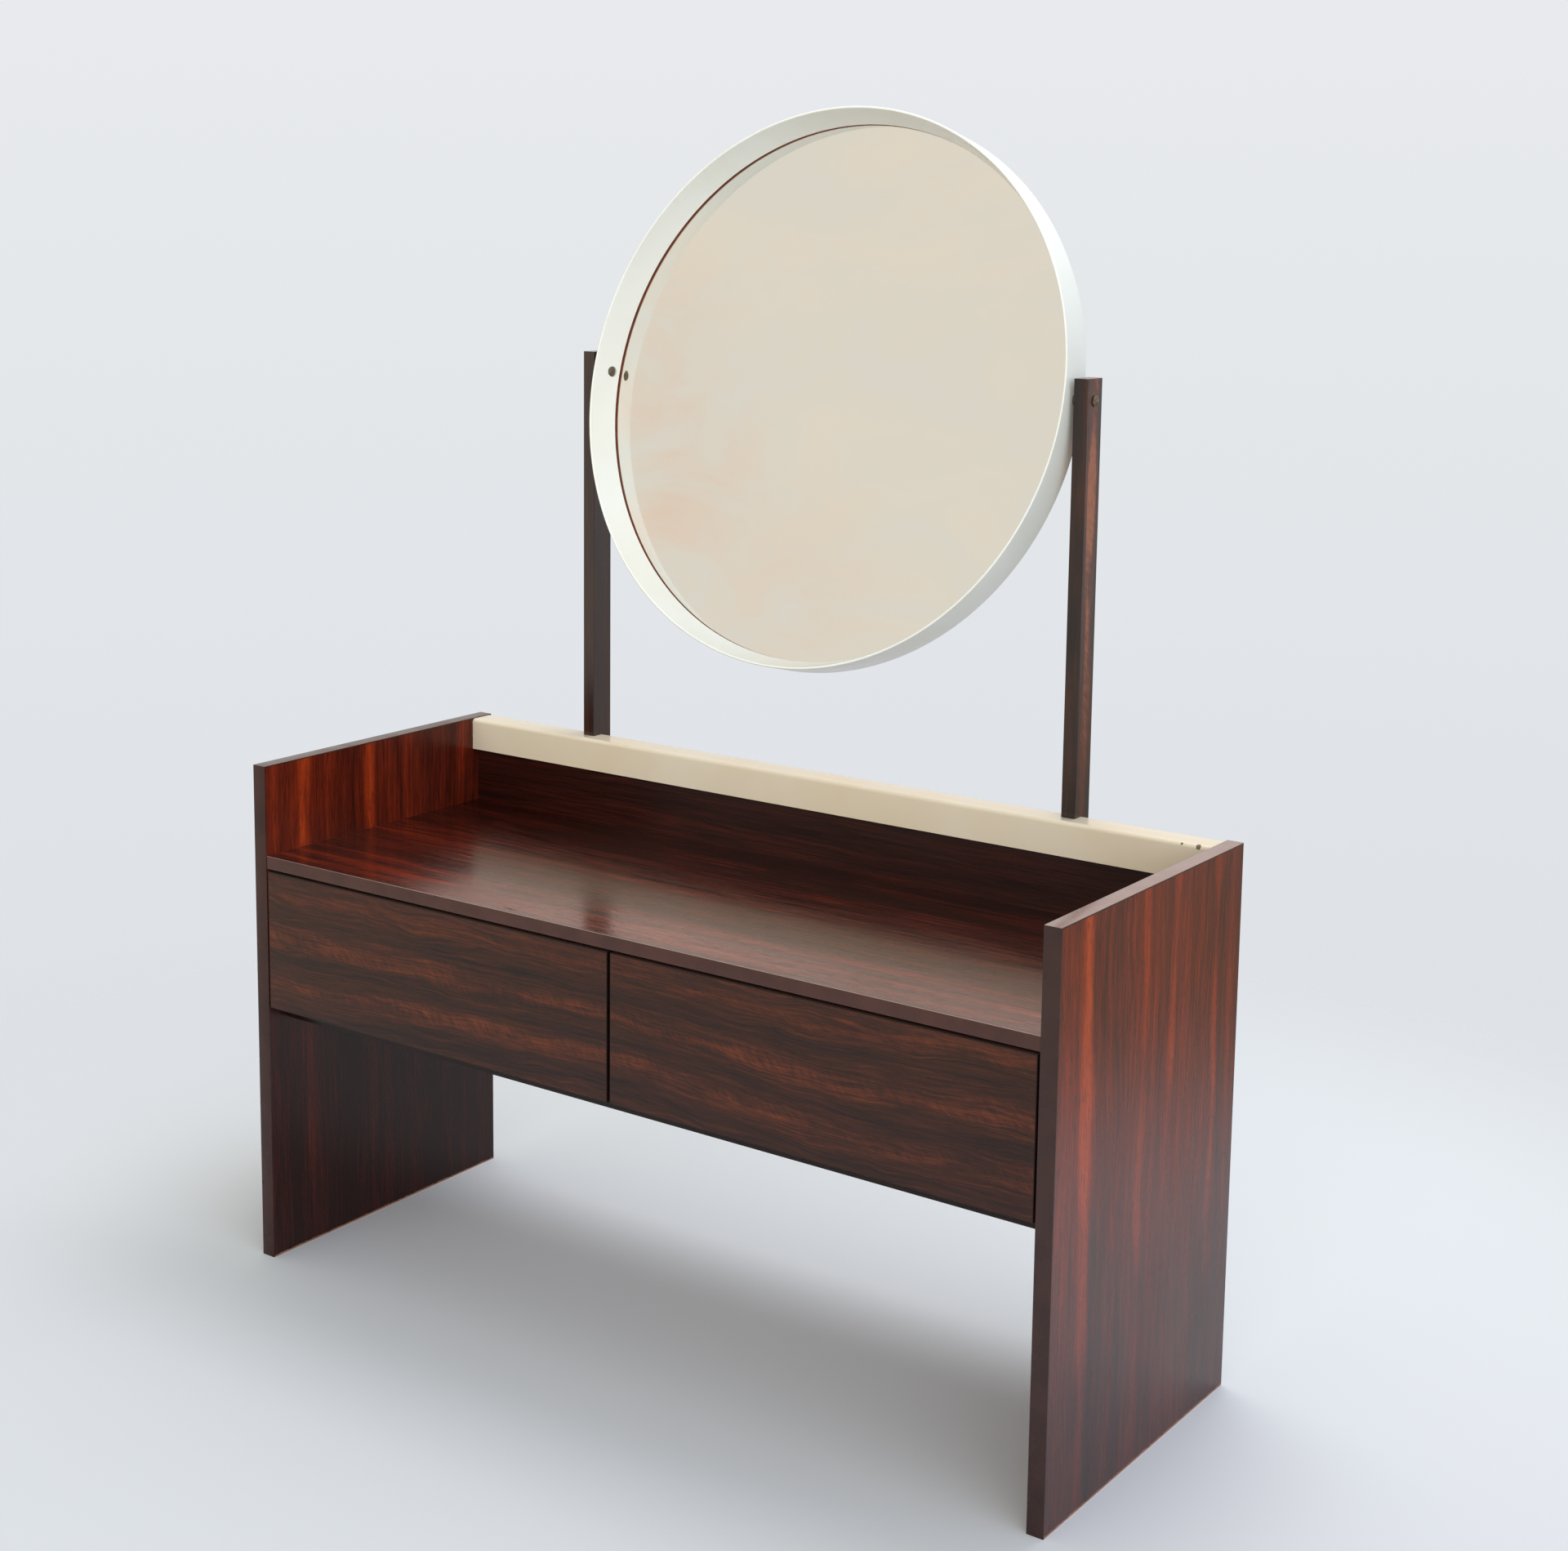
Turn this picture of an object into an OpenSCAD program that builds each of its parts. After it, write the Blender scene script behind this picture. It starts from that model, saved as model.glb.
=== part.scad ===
// Dressing table. Two slab sides in rosewood veneer carry a worktop, a lower board and
// two drawers. A cream lacquered rail joins the sides at the back, and two posts stand
// on it with a round mirror that tilts between them.
// X runs to the right seen from the front, Y to the back and Z up. The origin is on the
// floor, in the middle of the table's outer box with the mirror at rest.

/* [Case] */
// Clear width between the two sides
inner_w = 1100; // [1000:5:1300]
// Thickness of each side
side_t = 20; // [18:1:26]
// Depth of each side, front to back
side_d = 414; // [410:1:480]
// Height of each side
side_h = 640; // [620:5:700]
// Thickness of the edge bands on the sides, the worktop and the lower board
band_t = 1.5; // [0.8:0.1:2.5]

/* [Worktop] */
// Height of the worktop's upper face
worktop_z = 526; // [515:1:540]
// Thickness of the worktop
worktop_t = 16; // [15:1:22]
// How far the worktop's front edge lies behind the sides' front edges
worktop_inset = 1; // [0:0.5:4]

/* [Lower board and divider] */
// Thickness of the lower board
board_t = 16; // [14:1:20]
// How far the lower board's underside hangs below the drawer fronts
board_drop = 23; // [20:1:40]
// Width of the finger gap between the drawer fronts and the lower board
grip_gap = 18.5; // [15:0.5:30]
// Thickness of the divider between the two drawers
divider_t = 16; // [16:1:20]

/* [Backs] */
// Thickness of the panel under the rail
panel_t = 10; // [8:0.5:14]
// How far that panel lies behind the rail's front face
panel_setback = 10; // [6:0.5:12]
// Thickness of the plywood back behind the drawers
ply_t = 6; // [4:0.5:8]
// How far the plywood lies in front of the sides' back edges
ply_inset = 2; // [1:0.5:4]
// Depth of the grooves that hold the panel and the plywood
groove_in = 4; // [3:0.5:5]

/* [Rail] */
// Height of the lacquered rail
rail_h = 41.5; // [38:0.5:55]
// Depth of the lacquered rail
rail_d = 37; // [34:0.5:45]
// How far the rail's top lies below the tops of the sides
rail_drop = 1; // [0:0.5:5]
// Radius of the rail's upper edges
rail_r = 5; // [2:0.5:8]

/* [Drawers] */
// Height of each drawer front
front_h = 175.5; // [170:0.5:190]
// Thickness of each drawer front
front_t = 18; // [16:0.5:22]
// Gap between the worktop and the drawer fronts
top_gap = 3; // [2:0.5:5]
// Gap between a side and its drawer front
side_gap = 2.5; // [1.5:0.5:4]
// Gap between the two drawer fronts
centre_gap = 4; // [2:0.5:6]
// Thickness of the bands around each drawer front
front_band_t = 1; // [0.6:0.1:2]
// Space left between a shut drawer box and the plywood back
box_clear = 28; // [10:1:60]
// Height of the drawer box's sides
box_h = 150; // [140:1:155]
// How far the drawer box's lower edge lies above the front's lower edge
box_lift = 4.5; // [2:0.5:8]
// Thickness of the drawer's sides and back
box_t = 12; // [12:0.5:15]
// How far the drawer's back stops below the tops of its sides
box_back_drop = 6; // [3:1:15]
// Thickness of the drawer's bottom
box_floor_t = 4; // [3:0.5:5]
// Height of the drawer's bottom above the lower edge of its sides
box_floor_up = 8; // [7:0.5:12]
// Depth of the grooves that hold the drawer's bottom
box_floor_in = 4.5; // [3:0.5:5]

/* [Runners] */
// Height of each drawer runner
runner_h = 16; // [12:1:20]
// Height of the runner's middle above the drawer box's lower edge
runner_up = 75; // [60:1:85]
// Gap between a drawer's side and the wall beside it
box_gap = 4; // [3:0.5:6]
// Depth of the groove in the drawer's side that takes the runner
runner_groove = 6.5; // [5:0.5:7]
// Distance from the front to the runner's front end
runner_start = 40; // [36:1:60]
// Gap between a runner's back end and the plywood back
runner_end_gap = 6; // [2:0.5:12]
// Clearance above the runner in its groove
runner_seat = 0.3; // [0.2:0.1:0.5]
// Clearance below and beside the runner in its groove
runner_play = 0.6; // [0.4:0.1:1]

/* [Posts] */
// Width of each post, seen from the front
post_w = 18; // [14:0.5:22]
// Depth of each post
post_d = 34.5; // [32:0.5:40]
// How much of that depth stands on the rail
post_seat = 20; // [17:0.5:22]
// Height of the posts above the mirror's pivots
post_over = 25.5; // [20:0.5:45]
// Radius of the posts' long edges
post_r = 1.2; // [0.5:0.1:2]

/* [Mirror] */
// Outer radius of the mirror's hoop
hoop_r = 343.3; // [300:0.1:380]
// Depth of the hoop, front to back
hoop_depth = 48; // [47:0.5:56]
// Thickness of the hoop's front rim
rim_t = 2.8; // [2:0.1:4]
// Thickness of the hoop where it meets the glass
lip_t = 12.3; // [11.5:0.1:16]
// Thickness of the hoop around the glass
wall_t = 8.3; // [7:0.1:9]
// Depth from the front rim to the glass
glass_in = 38.8; // [36:0.1:39]
// Thickness of the mirror glass
glass_t = 4; // [3:0.5:4]
// Thickness of the hardboard behind the glass
backing_t = 3; // [2:0.5:3.5]
// Play between the glass and the hoop
glass_play = 0.3; // [0.2:0.1:0.6]
// Height of the pivots above the floor
pivot_z = 1119; // [1090:1:1300]
// Distance from the front rim back to the pivots
pivot_in = 27.2; // [26:0.1:31]
// Height of the pivots above the middle of the hoop
pivot_up = 5.8; // [0:0.1:8]
// Angle by which the mirror leans back at rest
lean = 13.6; // [0:0.1:20]

/* [Pivots] */
// Gap between the hoop and each post
pivot_gap = 6.7; // [5:0.1:9]
// Radius of the pivot bolts
bolt_r = 3; // [2.5:0.1:4]
// Running clearance around the bolts in the posts
bolt_play = 0.05; // [0.02:0.01:0.1]
// Radius of the bolts' heads and of the cap nuts
head_r = 6.4; // [4.6:0.1:7]
// Height of the bolts' heads and of the cap nuts
head_h = 3.6; // [3:0.1:5]
// Radius of the spacers between the hoop and the posts
spacer_r = 7; // [6:0.1:8]
// Gap that lets a turning face clear a fixed one
face_play = 0.3; // [0.2:0.1:0.5]

/* [Joinery] */
// Diameter of the case's dowels
dowel_d = 8; // [6:1:8]
// How far a case dowel goes into a side
dowel_in = 12; // [8:1:14]
// How far a case dowel goes into the board it holds
dowel_out = 22; // [15:1:28]
// Diameter of the dowels in the drawer fronts
pin_d = 6; // [5:0.5:7]
// How far a drawer's dowel goes into the front
pin_in = 10; // [8:1:13]
// How far a drawer's dowel goes into the drawer's side
pin_out = 20; // [15:1:28]
// Diameter of the screws in the posts
screw_d = 4.5; // [4:0.5:5]
// Length of the screws in the posts
screw_l = 40; // [34:1:42]
// Diameter of the screws in the runners and the plywood
small_d = 3; // [2.5:0.5:3.5]
// How far a small screw goes into what it holds to
small_bite = 6; // [5:0.5:7]
// Diameter of the nails in the drawers' backs
nail_d = 2; // [1.5:0.1:2.4]
// Length of the nails in the drawers' backs
nail_l = 32; // [25:1:40]

/* [Hidden] */

LEFT = -1;
RIGHT = 1;
wood_col = "#5a2a20";
wood_dark = "#3a1a14";
band_col = "#4a3634";
cream_col = "#e3ddc8";
beech_col = "#c9a878";
steel_col = "#4a4640";

// A hole's tool reaches this far past the face that it opens on
past = 1;
// Sides of the large rings and of the small round pieces
ring_fn = 240;
small_fn = 32;

// Case, from the front plane backwards and from the floor upwards
half_w = inner_w / 2;
worktop_y = worktop_inset + band_t;
worktop_under = worktop_z - worktop_t;
front_top = worktop_under - top_gap;
front_low = front_top - front_h;
board_low = front_low - board_drop;
board_top = board_low + board_t;
board_y = front_t + grip_gap + band_t;
ply_y = side_d - ply_inset - ply_t;
divider_y = front_t + face_play;
rail_top = side_h - rail_drop;
rail_low = rail_top - rail_h;
rail_y = side_d - rail_d;
panel_y = rail_y + panel_setback;

// Drawer box, in the same frame
box_low = front_low + box_lift;
box_top = box_low + box_h;
box_in = divider_t / 2 + box_gap;
box_out = half_w - box_gap;
floor_low = box_low + box_floor_up;
box_end = ply_y - box_clear;
runner_mid = box_low + runner_up;
runner_t = box_gap + runner_groove - runner_play;
runner_end = ply_y - runner_end_gap;
groove_end_gap = 2;

// Posts and pivots
post_x = hoop_r + pivot_gap;
post_y = side_d - post_seat;
pivot_y = post_y + post_d / 2;
post_top = pivot_z + post_over;
hoop_edge_r = 2;
overall_d = pivot_y + (hoop_depth - pivot_in - hoop_edge_r) * cos(lean)
    + (hoop_r - hoop_edge_r - pivot_up) * sin(lean) + hoop_edge_r;

// Spots that the dowels, screws and pins share
dowel_edge = 60;
rail_dowel_apart = 18;
worktop_dowel_y = [dowel_edge, side_d / 2, side_d - dowel_edge];
board_dowel_y = [board_y + dowel_edge, (board_y + ply_y) / 2, ply_y - dowel_edge];
rail_mid = rail_low + rail_h / 2;
rail_dowel_z = [rail_mid - rail_dowel_apart / 2, rail_mid + rail_dowel_apart / 2];
divider_dowel_y = [board_y + dowel_edge, ply_y - dowel_edge];
divider_dowel_in = 10;
divider_dowel_out = 20;
runner_screw_edge = 40;
runner_screw_y = [
    runner_start + runner_screw_edge,
    (runner_start + runner_end) / 2,
    runner_end - runner_screw_edge
];
ply_screw_share = [-0.9, -0.45, 0.45, 0.9];
ply_screw_edge = 50;
ply_screw_z = [board_top + ply_screw_edge, worktop_under - ply_screw_edge];
pin_edge = 26;
nail_edge = 16;
nail_low = box_floor_up + box_floor_t + nail_edge;
nail_high = box_h - box_back_drop - nail_edge;
nail_up = [nail_low, nail_low + nail_edge, nail_high];
backing_pin_count = 12;
backing_pin_d = 1.6;
backing_pin_in = 6;
backing_pin_out = 8;
drive_w = 1;
drive_deep = 0.8;
screw_tip_r = 0.3;

// Everything below is drawn from the front plane, and this sets it about the origin
module about_origin() {
    translate([0, -overall_d / 2, 0]) children();
}

// The mirror's own frame: its pivots on X, its front towards -Y, leaning back
module mirror_frame() {
    translate([0, pivot_y, pivot_z]) rotate([-lean, 0, 0]) children();
}

// The hoop's own frame: its middle hangs a little below the pivots, so that the mirror keeps upright
module hoop_frame() {
    mirror_frame() translate([0, 0, -pivot_up]) children();
}

module block(x0, x1, y0, y1, z0, z1) {
    translate([x0, y0, z0]) cube([x1 - x0, y1 - y0, z1 - z0]);
}

// A block that spans x0 to x1 on the right, or its mirror image on the left
module sided(side) {
    if (side == LEFT) mirror([1, 0, 0]) children();
    else children();
}

// A square corner with the quarter circle left out of it, as a tool for rounding
module corner_tool(r) {
    difference() {
        translate([-past, -past]) square(r + past);
        translate([r, r]) circle(r, $fn = small_fn);
    }
}

module dowel_x(x0, x1, y, z, d) {
    translate([x0, y, z]) rotate([0, 90, 0]) cylinder(h = x1 - x0, d = d, $fn = small_fn);
}

module dowel_z(x, y, z0, z1, d) {
    translate([x, y, z0]) cylinder(h = z1 - z0, d = d, $fn = small_fn);
}

module dowel_y(x, y0, y1, z, d) {
    translate([x, y0, z]) rotate([-90, 0, 0]) cylinder(h = y1 - y0, d = d, $fn = small_fn);
}

// A countersunk screw with its flat head at z = 0, pointing down
module screw_body(d, l) {
    head_cone = d / 2;
    tip = d;
    translate([0, 0, -head_cone]) cylinder(h = head_cone, r1 = d / 2, r2 = d, $fn = small_fn);
    translate([0, 0, -l + tip]) cylinder(h = l - tip - head_cone, d = d, $fn = small_fn);
    translate([0, 0, -l]) cylinder(h = tip, r1 = screw_tip_r, r2 = d / 2, $fn = small_fn);
}

module screw(d, l) {
    difference() {
        screw_body(d, l);
        translate([-drive_w / 2, -d, -drive_deep]) cube([drive_w, 2 * d, drive_deep + past]);
    }
}

// Dowels, screws and pins, each placed once and used both as solids and as hole tools
module worktop_dowel_set(side) {
    sided(side) {
        for (y = worktop_dowel_y) {
            dowel_x(half_w - dowel_out, half_w + dowel_in, y, worktop_z - worktop_t / 2, dowel_d);
        }
    }
}

module lower_board_dowel_set(side) {
    sided(side) {
        for (y = board_dowel_y) {
            dowel_x(half_w - dowel_out, half_w + dowel_in, y, board_low + board_t / 2, dowel_d);
        }
    }
}

module rail_dowel_set(side) {
    sided(side) {
        for (z = rail_dowel_z) {
            dowel_x(half_w - dowel_out, half_w + dowel_in, rail_y + rail_d / 2, z, dowel_d);
        }
    }
}

module divider_dowel_set() {
    for (y = divider_dowel_y) {
        dowel_z(0, y, board_top - divider_dowel_in, board_top + divider_dowel_out, dowel_d);
        dowel_z(0, y, worktop_under - divider_dowel_out, worktop_under + divider_dowel_in, dowel_d);
    }
}

module post_screw_places() {
    for (side = [LEFT, RIGHT]) {
        for (z = [rail_mid, worktop_z - worktop_t / 2]) {
            translate([side * (post_x + post_w / 2), post_y + post_d, z]) {
                rotate([-90, 0, 0]) children();
            }
        }
    }
}

module runner_screw_places(side, outer) {
    wall = outer ? half_w : divider_t / 2;
    face = outer ? wall - runner_t : wall + runner_t;
    sided(side) {
        for (y = runner_screw_y) {
            translate([face, y, runner_mid]) rotate([0, outer ? -90 : 90, 0]) children();
        }
    }
}

module ply_screw_places() {
    for (share = ply_screw_share) {
        translate([share * half_w, ply_y + ply_t, board_low + board_t / 2]) rotate([-90, 0, 0]) children();
    }
    for (z = ply_screw_z) {
        translate([0, ply_y + ply_t, z]) rotate([-90, 0, 0]) children();
    }
}

module drawer_dowel_set(side) {
    sided(side) {
        for (x = [box_in + box_t / 2, box_out - box_t / 2]) {
            for (z = [box_low + pin_edge, box_top - pin_edge]) {
                dowel_y(x, front_t - pin_in, front_t + pin_out, z, pin_d);
            }
        }
    }
}

module drawer_nail_set(side) {
    sided(side) {
        for (up = nail_up) {
            dowel_x(box_in, box_in + nail_l, box_end - box_t / 2, box_low + up, nail_d);
            dowel_x(box_out - nail_l, box_out, box_end - box_t / 2, box_low + up, nail_d);
        }
    }
}

module backing_pin_set() {
    y = glass_in + glass_t + backing_t + backing_pin_d / 2 - pivot_in;
    r = hoop_r - wall_t;
    for (k = [0 : backing_pin_count - 1]) {
        rotate([0, (k + 0.5) * 360 / backing_pin_count, 0]) {
            dowel_x(r - backing_pin_out, r + backing_pin_in, y, 0, backing_pin_d);
        }
    }
}

// Case
module side_panel(side) {
    color(wood_col) about_origin() difference() {
        sided(side) {
            block(half_w, half_w + side_t, band_t, side_d - band_t, 0, side_h - band_t);
        }
        worktop_dowel_set(side);
        lower_board_dowel_set(side);
        rail_dowel_set(side);
        runner_screw_places(side, true) screw_body(small_d, runner_t + small_bite);
    }
}

module side_edging(side) {
    color(band_col) about_origin() sided(side) difference() {
        block(half_w, half_w + side_t, 0, side_d, 0, side_h);
        block(half_w - past, half_w + side_t + past, band_t, side_d - band_t, -past, side_h - band_t);
    }
}

module worktop() {
    color(wood_dark) about_origin() difference() {
        block(-half_w, half_w, worktop_y, side_d, worktop_under, worktop_z);
        worktop_dowel_set(LEFT);
        worktop_dowel_set(RIGHT);
        divider_dowel_set();
        block(-half_w - past, half_w + past, ply_y, ply_y + ply_t, worktop_under - past,
            worktop_under + groove_in);
        post_screw_places() screw_body(screw_d, screw_l);
    }
}

module worktop_edging() {
    color(band_col) about_origin() {
        block(-half_w, half_w, worktop_inset, worktop_y, worktop_under, worktop_z);
    }
}

module lower_board() {
    color(wood_dark) about_origin() difference() {
        block(-half_w, half_w, board_y, ply_y, board_low, board_top);
        lower_board_dowel_set(LEFT);
        lower_board_dowel_set(RIGHT);
        divider_dowel_set();
        ply_screw_places() screw_body(small_d, ply_t + 2 * small_bite);
    }
}

module lower_board_edging() {
    color(band_col) about_origin() {
        block(-half_w, half_w, board_y - band_t, board_y, board_low, board_top);
    }
}

module divider() {
    color(wood_dark) about_origin() difference() {
        block(-divider_t / 2, divider_t / 2, divider_y, ply_y, board_top, worktop_under);
        divider_dowel_set();
        ply_screw_places() screw_body(small_d, ply_t + 2 * small_bite);
        for (side = [LEFT, RIGHT]) {
            runner_screw_places(side, false) screw_body(small_d, runner_t + small_bite);
        }
    }
}

module back_panel() {
    color(wood_dark) about_origin() {
        block(-half_w, half_w, panel_y, panel_y + panel_t, worktop_z, rail_low + groove_in);
    }
}

module plywood_back() {
    color(beech_col) about_origin() difference() {
        block(-half_w, half_w, ply_y, ply_y + ply_t, board_low, worktop_under + groove_in);
        ply_screw_places() screw_body(small_d, ply_t + 2 * small_bite);
    }
}

module rail() {
    color(cream_col) about_origin() difference() {
        translate([-half_w, rail_y, rail_low]) rotate([90, 0, 90]) linear_extrude(inner_w) difference() {
            square([rail_d, rail_h]);
            translate([0, rail_h]) mirror([0, 1]) corner_tool(rail_r);
            translate([rail_d, rail_h]) mirror([1, 0]) mirror([0, 1]) corner_tool(rail_r);
        }
        block(-half_w - past, half_w + past, panel_y, panel_y + panel_t, rail_low - past,
            rail_low + groove_in);
        rail_dowel_set(LEFT);
        rail_dowel_set(RIGHT);
        post_screw_places() screw_body(screw_d, screw_l);
    }
}

// Posts: each stands on the rail, and its tail runs down behind the rail to the worktop
module post(side) {
    color(wood_col) about_origin() difference() {
        sided(side) translate([post_x, post_y, worktop_under]) linear_extrude(post_top - worktop_under) {
            difference() {
                square([post_w, post_d]);
                corner_tool(post_r);
                translate([post_w, 0]) mirror([1, 0]) corner_tool(post_r);
                translate([0, post_d]) mirror([0, 1]) corner_tool(post_r);
                translate([post_w, post_d]) mirror([1, 0]) mirror([0, 1]) corner_tool(post_r);
            }
        }
        sided(side) {
            block(post_x - past, post_x + post_w + past, post_y - past, side_d, worktop_under - past,
                rail_top);
        }
        sided(side) {
            dowel_x(post_x - past, post_x + post_w + past, pivot_y, pivot_z, 2 * (bolt_r + bolt_play));
        }
        post_screw_places() screw_body(screw_d, screw_l);
    }
}

module post_screws() {
    color(steel_col) about_origin() post_screw_places() screw(screw_d, screw_l);
}

module worktop_dowels() {
    color(beech_col) about_origin() {
        worktop_dowel_set(LEFT);
        worktop_dowel_set(RIGHT);
    }
}

module lower_board_dowels() {
    color(beech_col) about_origin() {
        lower_board_dowel_set(LEFT);
        lower_board_dowel_set(RIGHT);
    }
}

module rail_dowels() {
    color(beech_col) about_origin() {
        rail_dowel_set(LEFT);
        rail_dowel_set(RIGHT);
    }
}

module divider_dowels() {
    color(beech_col) about_origin() divider_dowel_set();
}

module plywood_screws() {
    color(steel_col) about_origin() ply_screw_places() screw(small_d, ply_t + 2 * small_bite);
}

// Runners: strips on the sides and on the divider that the drawers hang on
module runner(side, outer) {
    x0 = outer ? half_w - runner_t : divider_t / 2;
    color(beech_col) about_origin() difference() {
        sided(side) {
            block(x0, x0 + runner_t, runner_start, runner_end, runner_mid - runner_h / 2,
                runner_mid + runner_h / 2);
        }
        runner_screw_places(side, outer) screw_body(small_d, runner_t + small_bite);
    }
}

module runner_screws() {
    color(steel_col) about_origin() {
        for (side = [LEFT, RIGHT]) {
            runner_screw_places(side, true) screw(small_d, runner_t + small_bite);
            runner_screw_places(side, false) screw(small_d, runner_t + small_bite);
        }
    }
}

// Drawers
module front_outline(side, inset, y0, y1) {
    sided(side) {
        block(centre_gap / 2 + inset, half_w - side_gap - inset, y0, y1, front_low + inset,
            front_top - inset);
    }
}

module drawer_floor(side) {
    sided(side) {
        block(box_in + box_t - box_floor_in, box_out - box_t + box_floor_in, front_t - box_floor_in,
            box_end, floor_low, floor_low + box_floor_t);
    }
}

module drawer_front(side) {
    color(wood_col) about_origin() difference() {
        front_outline(side, front_band_t, 0, front_t);
        drawer_floor(side);
        drawer_dowel_set(side);
    }
}

module drawer_edging(side) {
    color(band_col) about_origin() difference() {
        front_outline(side, 0, 0, front_t);
        front_outline(side, front_band_t, -past, front_t + past);
    }
}

module drawer_side(side, outer) {
    x0 = outer ? box_out - box_t : box_in;
    groove_x = outer ? box_out - runner_groove : box_in - past;
    groove_low = runner_mid - runner_h / 2 - runner_play;
    groove_top = runner_mid + runner_h / 2 + runner_seat;
    color(beech_col) about_origin() difference() {
        sided(side) {
            block(x0, x0 + box_t, front_t, box_end, box_low, box_top);
        }
        sided(side) {
            block(groove_x, groove_x + runner_groove + past, runner_start - groove_end_gap, box_end + past,
                groove_low, groove_top);
        }
        drawer_floor(side);
        drawer_dowel_set(side);
        drawer_nail_set(side);
    }
}

module drawer_back(side) {
    color(beech_col) about_origin() difference() {
        sided(side) {
            block(box_in + box_t, box_out - box_t, box_end - box_t, box_end, floor_low + box_floor_t,
                box_top - box_back_drop);
        }
        drawer_nail_set(side);
    }
}

module drawer_bottom(side) {
    color(beech_col) about_origin() drawer_floor(side);
}

module drawer_dowels(side) {
    color(beech_col) about_origin() drawer_dowel_set(side);
}

module drawer_nails(side) {
    color(steel_col) about_origin() drawer_nail_set(side);
}

// Mirror: the hoop's section is a thin rounded rim in front, a wall that thickens
// towards the glass, and a rebate at the back for the glass and its backing
function arc(x, y, r, a0, a1, n) = [
    for (k = [0 : n]) [x + r * cos(a0 + (a1 - a0) * k / n), y + r * sin(a0 + (a1 - a0) * k / n)]
];

module hoop_section() {
    rim = rim_t / 2;
    polygon(concat(
        arc(hoop_r - rim, rim, rim, 0, -180, 10),
        [[hoop_r - lip_t, glass_in], [hoop_r - wall_t, glass_in], [hoop_r - wall_t, hoop_depth]],
        arc(hoop_r - hoop_edge_r, hoop_depth - hoop_edge_r, hoop_edge_r, 90, 0, 5)
    ));
}

// Where the bolts' heads and the spacers sit, each on a flat face cut into the hoop
seat_play = 0.3;
seat_sink = 0.4;
inner_slope = (lip_t - rim_t) / (glass_in - rim_t / 2);
pivot_wall = hoop_r - rim_t - inner_slope * (pivot_in - rim_t / 2);
head_seat = pivot_wall + inner_slope * (head_r + seat_sink);
spacer_seat = hoop_r - seat_sink;

module mirror_hoop() {
    color(cream_col) about_origin() mirror_frame() difference() {
        translate([0, -pivot_in, -pivot_up]) rotate([-90, 0, 0]) {
            rotate_extrude($fn = ring_fn) hoop_section();
        }
        for (side = [LEFT, RIGHT]) {
            sided(side) {
                dowel_x(hoop_r - lip_t - past, hoop_r + past, 0, 0, 2 * bolt_r);
                dowel_x(hoop_r - lip_t - past, head_seat, 0, 0, 2 * (head_r + seat_play));
                dowel_x(spacer_seat, hoop_r + past, 0, 0, 2 * (spacer_r + seat_play));
            }
        }
        translate([0, 0, -pivot_up]) backing_pin_set();
    }
}

module disc(y, t) {
    translate([0, y - pivot_in, 0]) rotate([-90, 0, 0]) {
        cylinder(h = t, r = hoop_r - wall_t - glass_play, $fn = ring_fn);
    }
}

module mirror_glass() {
    color("#d8d3c8") about_origin() hoop_frame() disc(glass_in, glass_t);
}

module mirror_backing() {
    color("#7a5a40") about_origin() hoop_frame() disc(glass_in + glass_t, backing_t);
}

module backing_pins() {
    color(steel_col) about_origin() hoop_frame() backing_pin_set();
}

// A low dome on a short cylinder, with its base at x = 0 and its crown towards +X
module dome(r, h) {
    skirt = h / 3;
    rise = h - skirt;
    ball = (r * r + rise * rise) / (2 * rise);
    spread = asin(r / ball);
    rotate([0, 90, 0]) rotate_extrude($fn = small_fn) {
        polygon(concat([[0, 0], [r, 0]], arc(0, h - ball, ball, 90 - spread, 90, 6)));
    }
}

nut_x = post_x + post_w + face_play;
bolt_in_nut = head_h / 2;

module pivot_bolts() {
    color(steel_col) about_origin() mirror_frame() {
        for (side = [LEFT, RIGHT]) {
            sided(side) {
                dowel_x(head_seat, nut_x + bolt_in_nut, 0, 0, 2 * bolt_r);
                translate([head_seat, 0, 0]) mirror([1, 0, 0]) dome(head_r, head_h);
            }
        }
    }
}

module pivot_spacers() {
    color(steel_col) about_origin() mirror_frame() {
        for (side = [LEFT, RIGHT]) {
            sided(side) difference() {
                dowel_x(spacer_seat, post_x - face_play, 0, 0, 2 * spacer_r);
                dowel_x(spacer_seat - past, post_x, 0, 0, 2 * bolt_r);
            }
        }
    }
}

module cap_nuts() {
    color(steel_col) about_origin() mirror_frame() {
        for (side = [LEFT, RIGHT]) {
            sided(side) difference() {
                translate([nut_x, 0, 0]) dome(head_r, head_h);
                dowel_x(nut_x - past, nut_x + bolt_in_nut, 0, 0, 2 * bolt_r);
            }
        }
    }
}

side_panel(LEFT);  // side_left
side_panel(RIGHT);  // side_right
side_edging(LEFT);  // side_edging_left
side_edging(RIGHT);  // side_edging_right
worktop();
worktop_edging();
lower_board();
lower_board_edging();
divider();
back_panel();
plywood_back();
rail();
post(LEFT);  // post_left
post(RIGHT);  // post_right
post_screws();
worktop_dowels();
lower_board_dowels();
rail_dowels();
divider_dowels();
plywood_screws();
runner(LEFT, true);  // runner_left_outer
runner(LEFT, false);  // runner_left_inner
runner(RIGHT, false);  // runner_right_inner
runner(RIGHT, true);  // runner_right_outer
runner_screws();
drawer_front(LEFT);  // drawer_left_front
drawer_edging(LEFT);  // drawer_left_edging
drawer_side(LEFT, true);  // drawer_left_side_outer
drawer_side(LEFT, false);  // drawer_left_side_inner
drawer_back(LEFT);  // drawer_left_back
drawer_bottom(LEFT);  // drawer_left_bottom
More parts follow.
